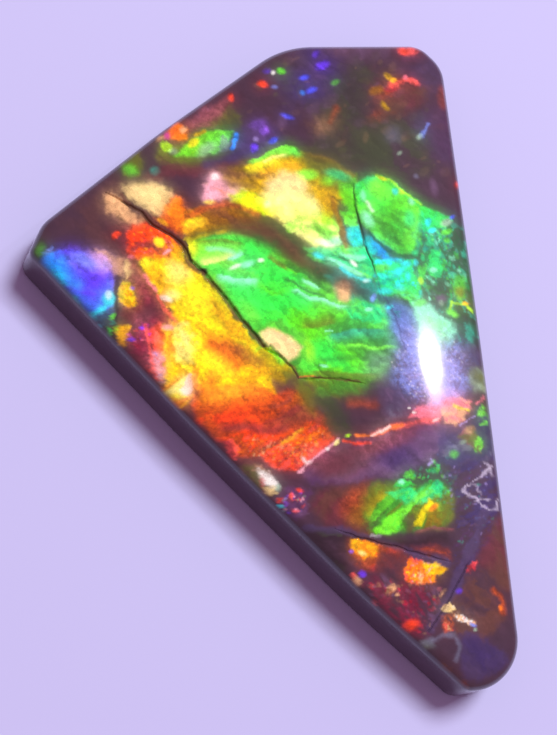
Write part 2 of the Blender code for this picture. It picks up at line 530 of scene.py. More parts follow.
@dataclass
class Painting:
    """Colour of each point of the polished face, built up mark by mark."""

    places: np.ndarray
    noise: Noise = field(default_factory=lambda: Noise(SEED))
    foil: Foil = Foil()
    wave_size: float = 0.9
    chip_size: float = 0.17
    chip_share: float = 0.55
    edge_wander: float = 1.6
    flake_wander: float = 0.35
    fold_wander: float = 0.07
    fold_reach: float = 1.7
    fold_falloff: float = 2.5
    fold_taper: float = 0.2
    width_size: float = 0.5
    break_size: float = 0.45
    speck_tries: int = 8
    speck_narrow: Pair = (0.3, 0.8)
    speck_sway: float = 40.0
    speck_share: Pair = (0.4, 1.0)
    speck_soft: float = 0.35
    large_flakes: float = 0.7
    small_flakes: float = 0.3
    flake_ratio: float = 2.4
    silk_size: float = 1.9
    silk_contrast: float = 0.85
    spread: float = 0.28
    spread_share: float = 0.5
    spread_cell: float = 0.08
    spread_reach: float = 2.5
    crisp_below: Pair = (-6.0, -3.0)
    grey: tuple[float, float, float] = (0.3, 0.5, 0.2)
    richness: float = 0.08
    second_share: float = 0.5
    darkest: float = 0.002

    def __post_init__(self) -> None:
        """Starts from bare shale and prepares the wander of the marks' edges."""
        self.colour = np.tile(Tint.SHALE.linear(), (len(self.places), 1))
        chips = [self.noise.flakes(self.places + shift, self.chip_size) - 0.5 for shift in (5.0, 25.0)]
        waves = wander(self.noise, self.places, self.wave_size, 5, 40.0)
        self.wander = waves + np.stack(chips, axis=1) * self.chip_share

    def reached(self, corners: np.ndarray, margin: float, share: float) -> tuple[np.ndarray, np.ndarray]:
        """The points that a mark may cover.

        Args:
            corners: the mark's corners, one row each, in millimetres.
            margin: how far the mark reaches past the box round them.
            share: how much of the common wander its edge follows.

        Returns:
            The points' numbers, and their places with the wander.
        """
        low, high = corners.min(axis=0) - margin, corners.max(axis=0) + margin
        chosen = np.flatnonzero(((self.places >= low) & (self.places <= high)).all(axis=1))
        return chosen, self.places[chosen] + self.wander[chosen] * share

    @staticmethod
    def nearest(points: np.ndarray, path: np.ndarray) -> tuple[np.ndarray, np.ndarray, np.ndarray]:
        """Where points lie beside a line of straight pieces.

        Args:
            points: the points, one row each.
            path: the line's own points.

        Returns:
            How far each point is from the line, a value above 0 if it lies to the left, and how
            far along the line it is, from 0 to 1.
        """
        least, side, place = np.full(len(points), np.inf), np.zeros(len(points)), np.zeros(len(points))
        for number, (start, end) in enumerate(zip(path, path[1:])):
            along = end - start
            share = np.clip((points - start) @ along / max(float(along @ along), TINY), 0.0, 1.0)
            apart = points - start - share[:, None] * along
            gap = np.hypot(apart[:, 0], apart[:, 1])
            closer = gap < least
            least[closer] = gap[closer]
            side[closer] = (along[0] * apart[:, 1] - along[1] * apart[:, 0])[closer]
            place[closer] = (number + share[closer]) / (len(path) - 1)
        return least, side, place

    @staticmethod
    def inside(points: np.ndarray, corners: np.ndarray) -> np.ndarray:
        """Whether each point lies inside the corners' closed line."""
        within = np.zeros(len(points), dtype=bool)
        for (x0, y0), (x1, y1) in zip(corners, np.roll(corners, -1, axis=0)):
            if y0 == y1:
                continue
            crossing = (y0 > points[:, 1]) != (y1 > points[:, 1])
            within ^= crossing & (points[:, 0] < (x1 - x0) * (points[:, 1] - y0) / (y1 - y0) + x0)
        return within

    def blend(self, chosen: np.ndarray, colour: np.ndarray, mask: np.ndarray) -> None:
        """Mixes a colour into the chosen points by a mask."""
        share = mask[:, None]
        self.colour[chosen] = self.colour[chosen] * (1.0 - share) + colour * share

    def flaked(self, chosen: np.ndarray, mark: Patch) -> np.ndarray:
        """Linear colours of a patch's flakes at the chosen points, graded through its tints."""
        tints = np.stack([tint.linear() for tint in mark.tints])
        if len(tints) == 1:
            return np.tile(tints, (len(chosen), 1))
        points = self.places[chosen] + self.wander[chosen] * mark.flake * self.flake_wander
        points = turned(points, mark.turn, mark.stretch)
        large = self.noise.flakes(points, mark.flake)
        small = self.noise.flakes(points + 11.0, mark.flake / self.flake_ratio)
        sharp = large * self.large_flakes + small * self.small_flakes
        silky = 0.5 + self.silk_contrast * self.noise.rough(points + 5.0, mark.flake * self.silk_size, 4)
        grade = sharp * (1.0 - mark.silk) + silky * mark.silk
        level = np.clip(grade, 0.0, 0.999) * (len(tints) - 1)
        low = np.floor(level).astype(int)
        part = rise(level - low, 0.1, 0.9)[:, None]
        return tints[low] * (1.0 - part) + tints[low + 1] * part

    def patch(self, mark: Patch) -> None:
        """Lays one patch."""
        corners = rows(mark.corners)
        chosen, points = self.reached(corners, mark.soft + mark.ragged * 1.5, mark.ragged * self.edge_wander)
        edge = self.nearest(points, np.vstack((corners, corners[:1])))[0]
        signed = np.where(self.inside(points, corners), edge, -edge)
        self.blend(chosen, self.flaked(chosen, mark), rise(signed, -mark.soft, mark.soft) * mark.share)

    def streak(self, mark: Streak) -> None:
        """Lays one line of colour."""
        path = rows(mark.path)
        margin = mark.width + mark.soft + mark.ragged * 2.0
        chosen, points = self.reached(path, margin, mark.ragged * self.edge_wander)
        half = mark.width * (0.75 + 0.5 * self.noise.smooth(points, self.width_size)) / 2.0
        mask = (1.0 - rise(self.nearest(points, path)[0], half - mark.soft, half + mark.soft)) * mark.share
        if mark.broken:
            gaps = self.noise.rough(points + 3.0, self.break_size, 3)
            mask = mask * rise(gaps, mark.broken - 0.75, mark.broken - 0.45)
        self.blend(chosen, mark.tint.linear(), mask)

    def spot(self, mark: Spot) -> None:
        """Lays one round or oval dab."""
        middle = np.array((mark.x, mark.y))
        margin = max(mark.long, mark.wide) * (1.0 + mark.soft) + 0.1
        chosen, points = self.reached(middle[None], margin, self.flake_wander * min(mark.long, mark.wide))
        out = np.hypot(*turned(points - middle, mark.turn, mark.long, mark.wide).T)
        mask = (1.0 - rise(out, 1.0 - mark.soft, 1.0 + mark.soft)) * mark.share
        self.blend(chosen, mark.tint.linear(), mask)

    def fold(self, mark: Fold) -> None:
        """Lays one crease."""
        path = rows(mark.path)
        chosen, points = self.reached(path, mark.width * self.fold_reach, self.fold_wander)
        least, side, place = self.nearest(points, path)
        spread = np.exp(-self.fold_falloff * (least / mark.width) ** 2)
        mask = np.where(side > 0.0, spread, 1.0 - rise(least, 0.0, mark.crisp))
        taper = rise(place, 0.0, self.fold_taper) * (1.0 - rise(place, 1.0 - self.fold_taper, 1.0))
        self.blend(chosen, mark.tint.linear(), mask * taper * mark.share)

    def specks(self, mark: Specks) -> None:
        """Scatters small flakes over a patch."""
        rng = np.random.default_rng(SEED + mark.count)
        corners = rows(mark.corners)
        low, high = corners.min(axis=0), corners.max(axis=0)
        tried = rng.uniform(low, high, (mark.count * self.speck_tries, 2))
        for number, (x, y) in enumerate(tried[self.inside(tried, corners)][:mark.count]):
            tint = mark.tints[number % len(mark.tints)]
            long = rng.uniform(mark.small, mark.large)
            wide = long * rng.uniform(*self.speck_narrow)
            turn = mark.turn + rng.uniform(-self.speck_sway, self.speck_sway)
            share = mark.share * rng.uniform(*self.speck_share)
            self.spot(Spot(tint, x, y, long, wide, turn, share, self.speck_soft))

    def lay(self, marks: Iterable[Mark]) -> None:
        """Lays marks in their order."""
        for mark in marks:
            getattr(self, type(mark).__name__.lower())(mark)

    def soften(self) -> None:
        """Spreads the colours over their neighbourhood, as light spreads inside the clear shell."""
        cell = self.spread_cell
        reach = math.ceil(self.spread_reach * self.spread / cell)
        spots = ((self.places - self.places.min(axis=0)) / cell).astype(int) + reach
        bell = np.exp(-0.5 * (np.arange(-reach, reach + 1) * cell / self.spread) ** 2)
        sums = np.zeros((*(spots.max(axis=0) + reach + 1), 4))
        np.add.at(sums, (spots[:, 0], spots[:, 1]), np.column_stack((self.colour, np.ones(len(spots)))))
        for axis in (0, 1):
            sums = np.apply_along_axis(np.convolve, axis, sums, bell, "same")
        near = sums[spots[:, 0], spots[:, 1]]
        share = (self.spread_share * (0.5 + 0.5 * rise(self.places[:, 1], *self.crisp_below)))[:, None]
        self.colour += (near[:, :3] / near[:, 3:] - self.colour) * share

    def enrich(self) -> None:
        """Deepens the colours away from grey."""
        grey = self.colour @ np.array(self.grey)[:, None]
        self.colour = np.clip(self.colour + (self.colour - grey) * self.richness, self.darkest, 1.0)

    def relief(self, shift: float = 0.0) -> np.ndarray:
        """Height of the crumpled layers under the polish, read at each point or a shift away from it."""
        foil = self.foil
        points = turned(self.places + shift + self.wander * foil.wander, foil.turn, foil.stretch)
        broad = 1.0 - np.abs(self.noise.rough(points + 3.0, foil.broad_size, foil.octaves))
        fine = 1.0 - np.abs(self.noise.rough(points + 31.0, foil.fine_size, foil.octaves))
        return broad * foil.broad_share + fine * foil.fine_share

    def crumple(self) -> None:
        """Paints light and shade into the shell's colour as on pressed foil: slopes towards the lamp are
        painted lighter and creases painted darker.
        """
        foil = self.foil
        slope = (self.relief(foil.reach) - self.relief(-foil.reach)) / foil.reach
        grain = self.noise.rough(self.places + 7.0, foil.grain_size, 2)
        crease = rise(self.relief(), *foil.crease_band)
        red, green, blue = self.colour.T
        warm = rise(red - green, *foil.warm_band) * (1.0 - rise(blue, *foil.blue_band))
        shade = foil.slope_light * slope - foil.crease_shade * crease
        shade += (foil.grain_light + foil.warm_grain_light * warm) * grain
        lit = foil.least_lit + (1.0 - foil.least_lit) * rise(self.colour.max(axis=1), *foil.lit_band)
        calm = 1.0 - foil.pale_calm * rise(self.colour.min(axis=1), *foil.pale_band)
        shade = np.clip(shade, -foil.most, foil.most) * lit * calm
        self.colour = np.clip(self.colour * (1.0 + shade[:, None]), self.darkest, 1.0)

    def complete(self) -> None:
        """Lays every mark, spreads the broad ones, sharpens the small ones and opens the cracks."""
        self.lay(ALL_MARKS)
        self.soften()
        self.enrich()
        small = (mark for mark in ALL_MARKS if not isinstance(mark, Patch | Specks))
        self.lay(replace(mark, share=mark.share * self.second_share) for mark in small)
        self.crumple()
        self.lay(CRACKS)


# Marks of the face in fields, each laid in its order, in millimetres of plan.
T = Tint

# Broad end: dim shale with scattered bright dabs.
UPPER_END: tuple[Mark, ...] = (
    Patch((T.DUSK, T.SHALE), (6, 14.6, 7.7, 14.6, 8.6, 13.6, 8.8, 11.6, 7.4, 12.4, 6.6, 13.4), 0.4, 0.7),
    Patch((T.DUSK, T.NAVY), (2.2, 14.4, 3.8, 13.8, 3.9, 12.6, 2.8, 11.6, 1.2, 11.6, 0.9, 12.6), 0.5, 0.6),
    Patch((T.SMOKE, T.MOSS, T.SHALE), (2, 9.4, 3, 11.9, 4.4, 13.6, 5.4, 13.6, 5, 12.6, 4.6, 11.4, 5.8, 10.9,
        7.4, 11.4, 7.8, 10.6, 7.2, 8.4, 5.2, 8.4, 3.2, 8.8), 0.5, 0.8, 0.2, 0.9),
    Patch((T.UMBER, T.MAUVE), (2.2, 14.3, 5, 14.5, 6.4, 14.6, 6, 14.1, 3.8, 13.9), 0.25, 0.35),
    Patch((T.MAROON, T.UMBER, T.RUST), (5, 12.2, 5.6, 12.7, 7, 12.8, 7.9, 12.5, 7.6, 11.8, 6.7, 11.4,
        5.4, 10.9, 4.6, 10.7, 4.8, 11.2, 5.6, 11.7), 0.3, 0.75, 0.2, 0.5, 30),
    Patch((T.DUSK, T.PLUM), (6.8, 11.2, 8.6, 11.8, 8.7, 9, 7.8, 9.2, 7.2, 10.4), 0.4, 0.5),
    Streak(T.RUST, (8.3, 12.6, 8.4, 11.8), 0.35, 0.3, 0.15),
    Specks((T.UMBER, T.INK, T.DUSK, T.MAUVE, T.OLIVE, T.SMOKE, T.TAN, T.PLUM), (-0.8, 10.8, 0.4, 13, 3, 14.6,
        7.2, 14.6, 8.4, 12, 8.6, 7.6, 6.6, 8.4, 4.6, 8.8, 2, 9.8), 300, 0.06, 0.3, 0.17, 35),
    Specks((T.INK, T.SMOKE, T.MAUVE), (0.4, 12.6, 3, 14.4, 7.6, 14.4, 8.4, 12, 4.4, 10.2, 1.2, 11.2), 60,
        0.15, 0.5, 0.25, 20),
    Spot(T.CORAL, 6.95, 14.36, 0.37, 0.2, 5, 0.75),
    Spot(T.SCARLET, 6.74, 14.3, 0.2, 0.16),
    Streak(T.CORAL, (6, 12.72, 6.45, 12.85, 6.75, 13, 7.2, 12.85), 0.28, 0.85, 0.12),
    Spot(T.ROSE, 6.72, 13.08, 0.11, 0.11, 0, 0.9),
    Spot(T.GOLD, 5.92, 13.06, 0.2, 0.13, -40),
    Spot(T.AMBER, 6.15, 12.9, 0.14, 0.11, 20, 0.95, 0.5),
    Spot(T.BRONZE, 5.3, 12.35, 0.34, 0.18, 25, 0.9, 0.5),
    Spot(T.CRIMSON, 6, 12.5, 0.33, 0.15, 15, 0.4),
    Streak(T.GOLD, (5.52, 11.78, 5.72, 11.55), 0.22, 0.9, 0.09),
    Spot(T.LEAF, 3.45, 12.65, 0.2, 0.11, 25, 0.4),
    Streak(T.PERI, (7.2, 10.35, 7.42, 10.6, 7.6, 10.87), 0.17, 0.75, 0.08),
    Spot(T.SAGE, 7.1, 10.3, 0.16, 0.11, 40),
    Spot(T.SLATE, 5.9, 10.3, 0.33, 0.29, 0, 0.3, 0.8),
    Spot(T.SAGE, 6.1, 9.48, 0.13, 0.07, 35, 0.6),
    Spot(T.MAUVE, 7.5, 7.95, 0.16, 0.33, 0, 0.5, 0.8),
    Spot(T.SLATE, 6.75, 8.42, 0.11, 0.1, 0, 0.6, 0.7),
    Spot(T.SCARLET, 8.62, 8.05, 0.11, 0.13, 0, 0.75),
    Spot(T.VIOLET, 2.95, 13.42, 0.3, 0.16, 25, 0.85),
    Spot(T.VIOLET, 2.7, 13.9, 0.18, 0.11, 50, 0.5, 0.8),
    Spot(T.INDIGO, 2.08, 12.78, 0.21, 0.12, 20, 0.85),
    Spot(T.INDIGO, 2.35, 12.2, 0.25, 0.11, 25, 0.75),
    Spot(T.AZURE, 1.95, 12.06, 0.11, 0.1, 0, 0.6, 0.7),
    Spot(T.PERI, 0.72, 12.25, 0.13, 0.08, 0, 0.45, 0.8),
    Spot(T.VIOLET, 0.45, 12.98, 0.16, 0.1, 10, 0.4, 0.8),
    Spot(T.WHITE, 0.72, 12.93, 0.08, 0.11, -30),
    Spot(T.LEAF, 1.08, 13.04, 0.18, 0.15, 0, 0.95, 0.5),
    Spot(T.SCARLET, 0.2, 12.34, 0.23, 0.15, -10, 0.95, 0.45),
    Spot(T.INDIGO, 1.18, 10.93, 0.26, 0.11, -18, 0.65),
    Patch((T.NAVY, T.DUSK, T.PLUM), (-1.1, 9.6, -0.7, 10.6, 0.4, 10.7, 1.1, 10, 0.4, 9.5, -0.5, 8.9,
        -1, 9.1), 0.2, 0.7),
    Spot(T.VIOLET, -0.35, 9.44, 0.15, 0.21, -20, 0.95, 0.5),
    Spot(T.INDIGO, 0.5, 9.83, 0.21, 0.11, 30, 0.85, 0.5),
    Spot(T.AMETHYST, 0.14, 10.25, 0.2, 0.16, 20, 0.85),
    Spot(T.AMETHYST, -0.1, 10.48, 0.33, 0.16, 10, 0.35, 0.8),
    Spot(T.LILAC, -0.25, 9.83, 0.11, 0.11, 30, 0.4, 0.8),
    Spot(T.MAUVE, 0.95, 10.65, 0.16, 0.25, 0, 0.35, 0.8),
    Patch((T.UMBER, T.TAN), (2, 10.6, 2.8, 11, 3.4, 10.7, 3.2, 10.3, 2.4, 10.1), 0.25, 0.4),
    Streak(T.RUST, (3.1, 10.7, 3.4, 11.4), 0.3, 0.4, 0.15),
)

# Long left edge: maroon, green and orange slivers.
LEFT_EDGE: tuple[Mark, ...] = (
    Patch((T.MAROON, T.ROSEWOOD, T.MAUVE), (-3.3, 10.3, -2.4, 11.2, -1.4, 11.8, -1.1, 11.6, -1.5, 11,
        -2.1, 10.4, -3, 10.1), 0.12, 0.95, 0.1, 0.5, 40, 2.5),
    Spot(T.SCARLET, -1.22, 11.66, 0.14, 0.18),
    Patch((T.MOSS, T.OLIVE), (-2.2, 10.5, -1.3, 11.3, -0.9, 10.9, -0.9, 10.3, -1.5, 10.25), 0.15, 0.75),
    Patch((T.BRONZE, T.OLIVE, T.UMBER), (-4.3, 9.4, -3.6, 9.3, -2.9, 8.9, -2.2, 9, -3, 8.6, -4.4, 8.6,
        -4.6, 9), 0.15, 0.85),
    Patch((T.GRASS, T.LEAF, T.LIME), (-3.7, 9, -2.9, 9.7, -2.6, 10.1, -1.9, 10.2, -1.2, 10.15, -1.5, 9.6,
        -1.95, 9.1, -2.8, 8.95), 0.1, 1, 0.08, 0.45, 40, 2.5),
    Spot(T.SAGE, -2.35, 9.3, 0.4, 0.22, 40, 0.6, 0.7),
    Spot(T.YELLOW, -2.92, 9.55, 0.24, 0.14, 45, 0.9, 0.5),
    Streak(T.GOLD, (-2.85, 9.9, -2.45, 10.1), 0.14, 0.9, 0.06),
    Patch((T.SLATE, T.SAGE), (-1.75, 9.95, -1.45, 9.9, -1.5, 9.3, -1.95, 9.1, -1.9, 9.4), 0.08, 0.85),
    Streak(T.AZURE, (-1.08, 10.02, -1.18, 9.75, -1.3, 9.4), 0.22, 1, 0.07),
    Patch((T.SCARLET, T.ORANGE, T.ORANGE), (-4.15, 9.75, -3.9, 10.2, -3.5, 10.4, -3.1, 10.1, -3.1, 9.7,
        -3.5, 9.55), 0.09, 1, 0.08, 0.25, 60, 2),
    Spot(T.PEACH, -3.3, 10.1, 0.16, 0.12, 40),
    Spot(T.MAGENTA, -4.02, 9.82, 0.12, 0.14, 0, 0.7),
    Spot(T.PEACH, -4.3, 9.7, 0.16, 0.09, 35, 0.7, 0.7),
    Spot(T.LIME, -4.05, 9.33, 0.26, 0.18, -40, 1, 0.4),
    Spot(T.SAGE, -3.8, 9.15, 0.16, 0.12, 0, 0.5, 0.8),
    Spot(T.TEAL, -4.6, 8.28, 0.2, 0.17, 0, 0.65),
    Patch((T.MOSS, T.OLIVE, T.BRONZE), (-5.9, 8.4, -5.5, 8.9, -5.1, 9.1, -5.2, 8.6, -5.3, 8, -5.85, 7.9)),
    Spot(T.LEAF, -5.6, 8.25, 0.26, 0.2, 0, 0.55, 0.7),
    Patch((T.SHALE, T.MAROON, T.INK), (-5.2, 8, -4.2, 8.6, -2.4, 8.7, -0.9, 8.7, -2.4, 8.2, -3.4, 8.1,
        -4.6, 7.9), 0.15, 0.8),
    Streak(T.NAVY, (-2.5, 8.6, -1.6, 8.8, -0.9, 9.1, 0.1, 9.3), 0.4, 0.5, 0.15),
)

# Left corner: blue and violet shell beside bare shale.
LEFT_CORNER: tuple[Mark, ...] = (
    Patch((T.SHALE, T.UMBER), (-9.2, 5.6, -7.2, 7.3, -6.2, 8, -5.2, 7.8, -6, 6, -5.9, 4.6, -7, 4.8), 0.3,
        0.45),
    Streak(T.PERI, (-9.1, 4.6, -8.8, 4.9), 0.1, 0.5, 0.06),
    Spot(T.MOSS, -9.4, 4.75, 0.3, 0.5, -20, 0.9),
    Spot(T.LEAF, -9.3, 4.75, 0.16, 0.3, -20, 0.35, 0.8),
    Patch((T.AZURE, T.INDIGO, T.INDIGO, T.VIOLET), (-9.45, 4.05, -9.1, 4.5, -8.6, 4.75, -8, 4.8, -7.4, 4.65,
        -6.8, 4.1, -6.5, 3.7, -6.5, 2.5, -7.1, 2.1, -7.5, 1.85, -8, 2.4, -8.7, 3.2), 0.06, 1, 0.05, 0.4, -60,
        1.8),
    Patch((T.VIOLET, T.VIOLET, T.AMETHYST), (-8.4, 4.7, -8, 4.8, -7.4, 4.6, -6.9, 4, -6.6, 3.7, -7.2, 3.2,
        -7.9, 3.3, -8.3, 3.8), 0.3, 0.85),
    Patch((T.CYAN, T.AZURE), (-9.42, 4.05, -9.05, 4.5, -8.75, 4.55, -8.5, 4.1, -8.3, 3.5, -8.6, 3.3), 0.2,
        1),
    Fold(T.AZURE, (-8.3, 4.7, -8.5, 4.2, -8.2, 3.6, -7.6, 3.1), 0.5, 0.7, 0.3),
    Streak(T.JADE, (-9.45, 4.05, -8.95, 3.55, -8.3, 2.95), 0.16, 0.9, 0.07),
    Streak(T.TEAL, (-8.6, 3.3, -8.1, 2.8), 0.3, 0.7, 0.12),
    Streak(T.CYAN, (-8.1, 2.7, -7.7, 2.15, -7.3, 1.95), 0.26, 0.85, 0.1),
    Streak(T.CYAN, (-7.4, 2.1, -7.05, 2.3, -6.85, 2.45), 0.26, 0.9, 0.08),
    Spot(T.CYAN, -6.68, 2.78, 0.26, 0.3, 0, 0.95, 0.35),
    Spot(T.WHITE, -6.7, 2.95, 0.13, 0.17, 0, 0.75),
    Patch((T.SHALE, T.NAVY), (-7.4, 1.95, -6.95, 2.3, -6.5, 2.35, -6.55, 1.8, -7, 1.6), 0.05, 0.95, 0.05),
    Streak(T.INK, (-6.3, 3.7, -6.38, 3, -6.4, 2.2, -6.55, 1.4, -6.55, 0.7), 0.2, 0.95, 0.06),
    Spot(T.LEAF, -6.55, 2.1, 0.15, 0.08, 50, 0.9, 0.5),
    Spot(T.TEAL, -6.55, 1.85, 0.1, 0.1, 0, 0.7),
    Spot(T.CYAN, -7.15, 1.68, 0.14, 0.1, 20, 0.9, 0.5),
    Streak(T.EMERALD, (-6.7, 1.6, -6.75, 1.25, -6.78, 0.98), 0.13, 0.95),
    Spot(T.JADE, -6.95, 1.3, 0.08, 0.07),
    Spot(T.PERI, -7.5, 4.35, 0.5, 0.25, -20, 0.6, 0.8),
    Patch((T.BLUSH, T.BLUSH, T.LILAC), (-7.4, 4.6, -6.9, 4.75, -6.5, 4.5, -6.55, 3.9, -7, 3.9), 0.2),
    Patch((T.PEACH, T.TAN), (-7.1, 4.8, -6.7, 4.75, -6.2, 4.35, -6.18, 3.7, -6.55, 3.75, -6.6, 4.3), 0.1,
        0.95),
    Patch((T.PEACH, T.CREAM), (-6.1, 4.25, -5.85, 4.05, -5.75, 3.75, -6.05, 3.5, -6.15, 3.9), 0.08, 0.95),
    Streak(T.SCARLET, (-6.35, 5.42, -6.15, 5.58), 0.18, 0.9, 0.06),
    Patch((T.TAN, T.PEACH, T.PEACH), (-6.7, 7.1, -6.35, 7.3, -6, 7.05, -5.75, 6.7, -5.35, 6.45, -4.9, 6.05,
        -5.5, 6.05, -6.1, 6.2, -6.6, 6.5), 0.14),
    Patch((T.PEACH, T.CREAM, T.CREAM), (-5.9, 7.6, -4.7, 7.8, -4, 7.5, -4, 7, -4.5, 6.5, -4.8, 6.4, -5.4, 7,
        -5.8, 7.2), 0.18, 0.95),
)

# Red and orange flakes between the left corner and the yellow field.
RED_LEFT: tuple[Mark, ...] = (
    Patch((T.MAROON, T.CRIMSON, T.SCARLET, T.SCARLET, T.ORANGE), (-5.85, 5.6, -5.5, 6.05, -5, 6.1, -4.6, 5.9,
        -4.1, 5.5, -3.7, 5.1, -4.2, 4.5, -5.2, 4.45, -5.9, 4.5), 0.12, 1, 0.12, 0.3),
    Patch((T.ORANGE, T.AMBER, T.RUST), (-4.2, 5.3, -3.75, 5.1, -3.45, 4.6, -3.5, 4.3, -4.2, 4.4), 0.1, 0.9,
        0.1, 0.3),
    Fold(T.MAROON, (-5.8, 4.6, -5.4, 5, -4.9, 4.95, -4.5, 4.7), 0.3, 0.8),
    Specks((T.CORAL, T.ORANGE, T.MAROON, T.AMBER, T.CRIMSON, T.ROSE), (-5.7, 5.5, -5, 6, -4, 5.4, -4, 4.6,
        -5.6, 4.5), 90, 0.03, 0.1, 0.8),
    Spot(T.YELLOW, -4.6, 5.17, 0.19, 0.18, 0, 1, 0.4),
    Streak(T.PINK, (-4.45, 4.7, -4.2, 4.92)),
    Spot(T.ROSE, -5.75, 4.55, 0.12, 0.08, 0, 0.7, 0.7),
    Patch((T.SCARLET, T.RUST, T.ORANGE, T.ORANGE), (-4.7, 6.2, -4.3, 6.7, -4, 7.1, -3.5, 7.2, -3.3, 6.2,
        -3.6, 5.6, -4, 5.75), 0.12, 1, 0.12, 0.35),
    Spot(T.AMBER, -4.4, 6.08, 0.22, 0.1, -35),
    Patch((T.MAROON, T.WINE, T.ROSEWOOD), (-5.8, 4.3, -5.5, 4, -5, 3.5, -4.65, 2.9, -4.5, 2.4, -4.2, 2,
        -4.7, 1.6, -5.3, 1.8, -5.9, 1.9, -6.2, 2.4, -5.6, 2.6, -5.6, 3.2, -5.9, 3.6), 0.1, 0.95),
    Spot(T.SMOKE, -5, 2.3, 0.4, 0.3, 0, 0.5, 0.8),
    Streak(T.ROSE, (-5.25, 3.8, -5, 3.45, -4.8, 3.2), 0.14, 0.85),
    Streak(T.CORAL, (-4.75, 3, -4.55, 2.5, -4.2, 2, -4, 1.8), 0.14),
    Spot(T.VIOLET, -5.75, 3.25, 0.09, 0.07, 0, 0.7),
    Spot(T.MAROON, -6, 2.2, 0.34, 0.2, -10),
    Patch((T.ORANGE, T.AMBER, T.YELLOW, T.ORANGE), (-6.15, 3.5, -5.85, 3.45, -5.65, 3, -5.55, 2.65,
        -5.9, 2.45, -6.25, 2.6, -6.28, 3), 0.06, 1, 0.08, 0.2),
    Patch((T.CRIMSON, T.WINE, T.MAROON, T.SCARLET), (-5.95, 1.7, -5.3, 1.8, -5.1, 1.2, -5.1, 0.3, -5.2, -0.5,
        -5.6, -0.1, -6, 0.5, -5.95, 1.2), 0.1, 0.9, 0.1, 0.25),
    Patch((T.YELLOW, T.AMBER, T.AMBER, T.ORANGE), (-6.45, 1.55, -6.3, 1.85, -5.9, 1.8, -6, 1.4, -5.95, 1,
        -6.1, 0.8, -6.4, 0.9, -6.3, 1.3), 0.05, 1, 0.08, 0.18),
    Spot(T.LIME, -6.45, 1.6, 0.08, 0.12),
    Specks((T.VIOLET, T.AMETHYST, T.MAGENTA, T.ROSE), (-6, 1.9, -4.9, 1.8, -4.8, 0.9, -5.9, 0.9), 16, 0.05,
        0.11, 0.9),
    Spot(T.VIOLET, -5.85, 1.15, 0.14, 0.08, 0, 0.9),
    Spot(T.VIOLET, -5.4, 1.65, 0.12, 0.06),
    Patch((T.CRIMSON, T.SCARLET, T.CORAL, T.ROSE), (-5.15, 1.6, -4.7, 1.75, -4.3, 1.5, -4.4, 0.5, -5, 0.6),
        0.08, 0.95, 0.1, 0.22),
    Patch((T.MAUVE, T.ROSE, T.PINK, T.LILAC), (-5.1, 0.6, -4.6, 0.6, -4.55, -0.1, -4.8, -0.6, -5.1, -0.4),
        0.1, 0.95, 0.1, 0.12),
    Streak(T.CORAL, (-5.25, 1.75, -5.2, 1.2, -5.12, 0.5, -5.1, 0, -4.98, -0.5), 0.12, 0.85),
)

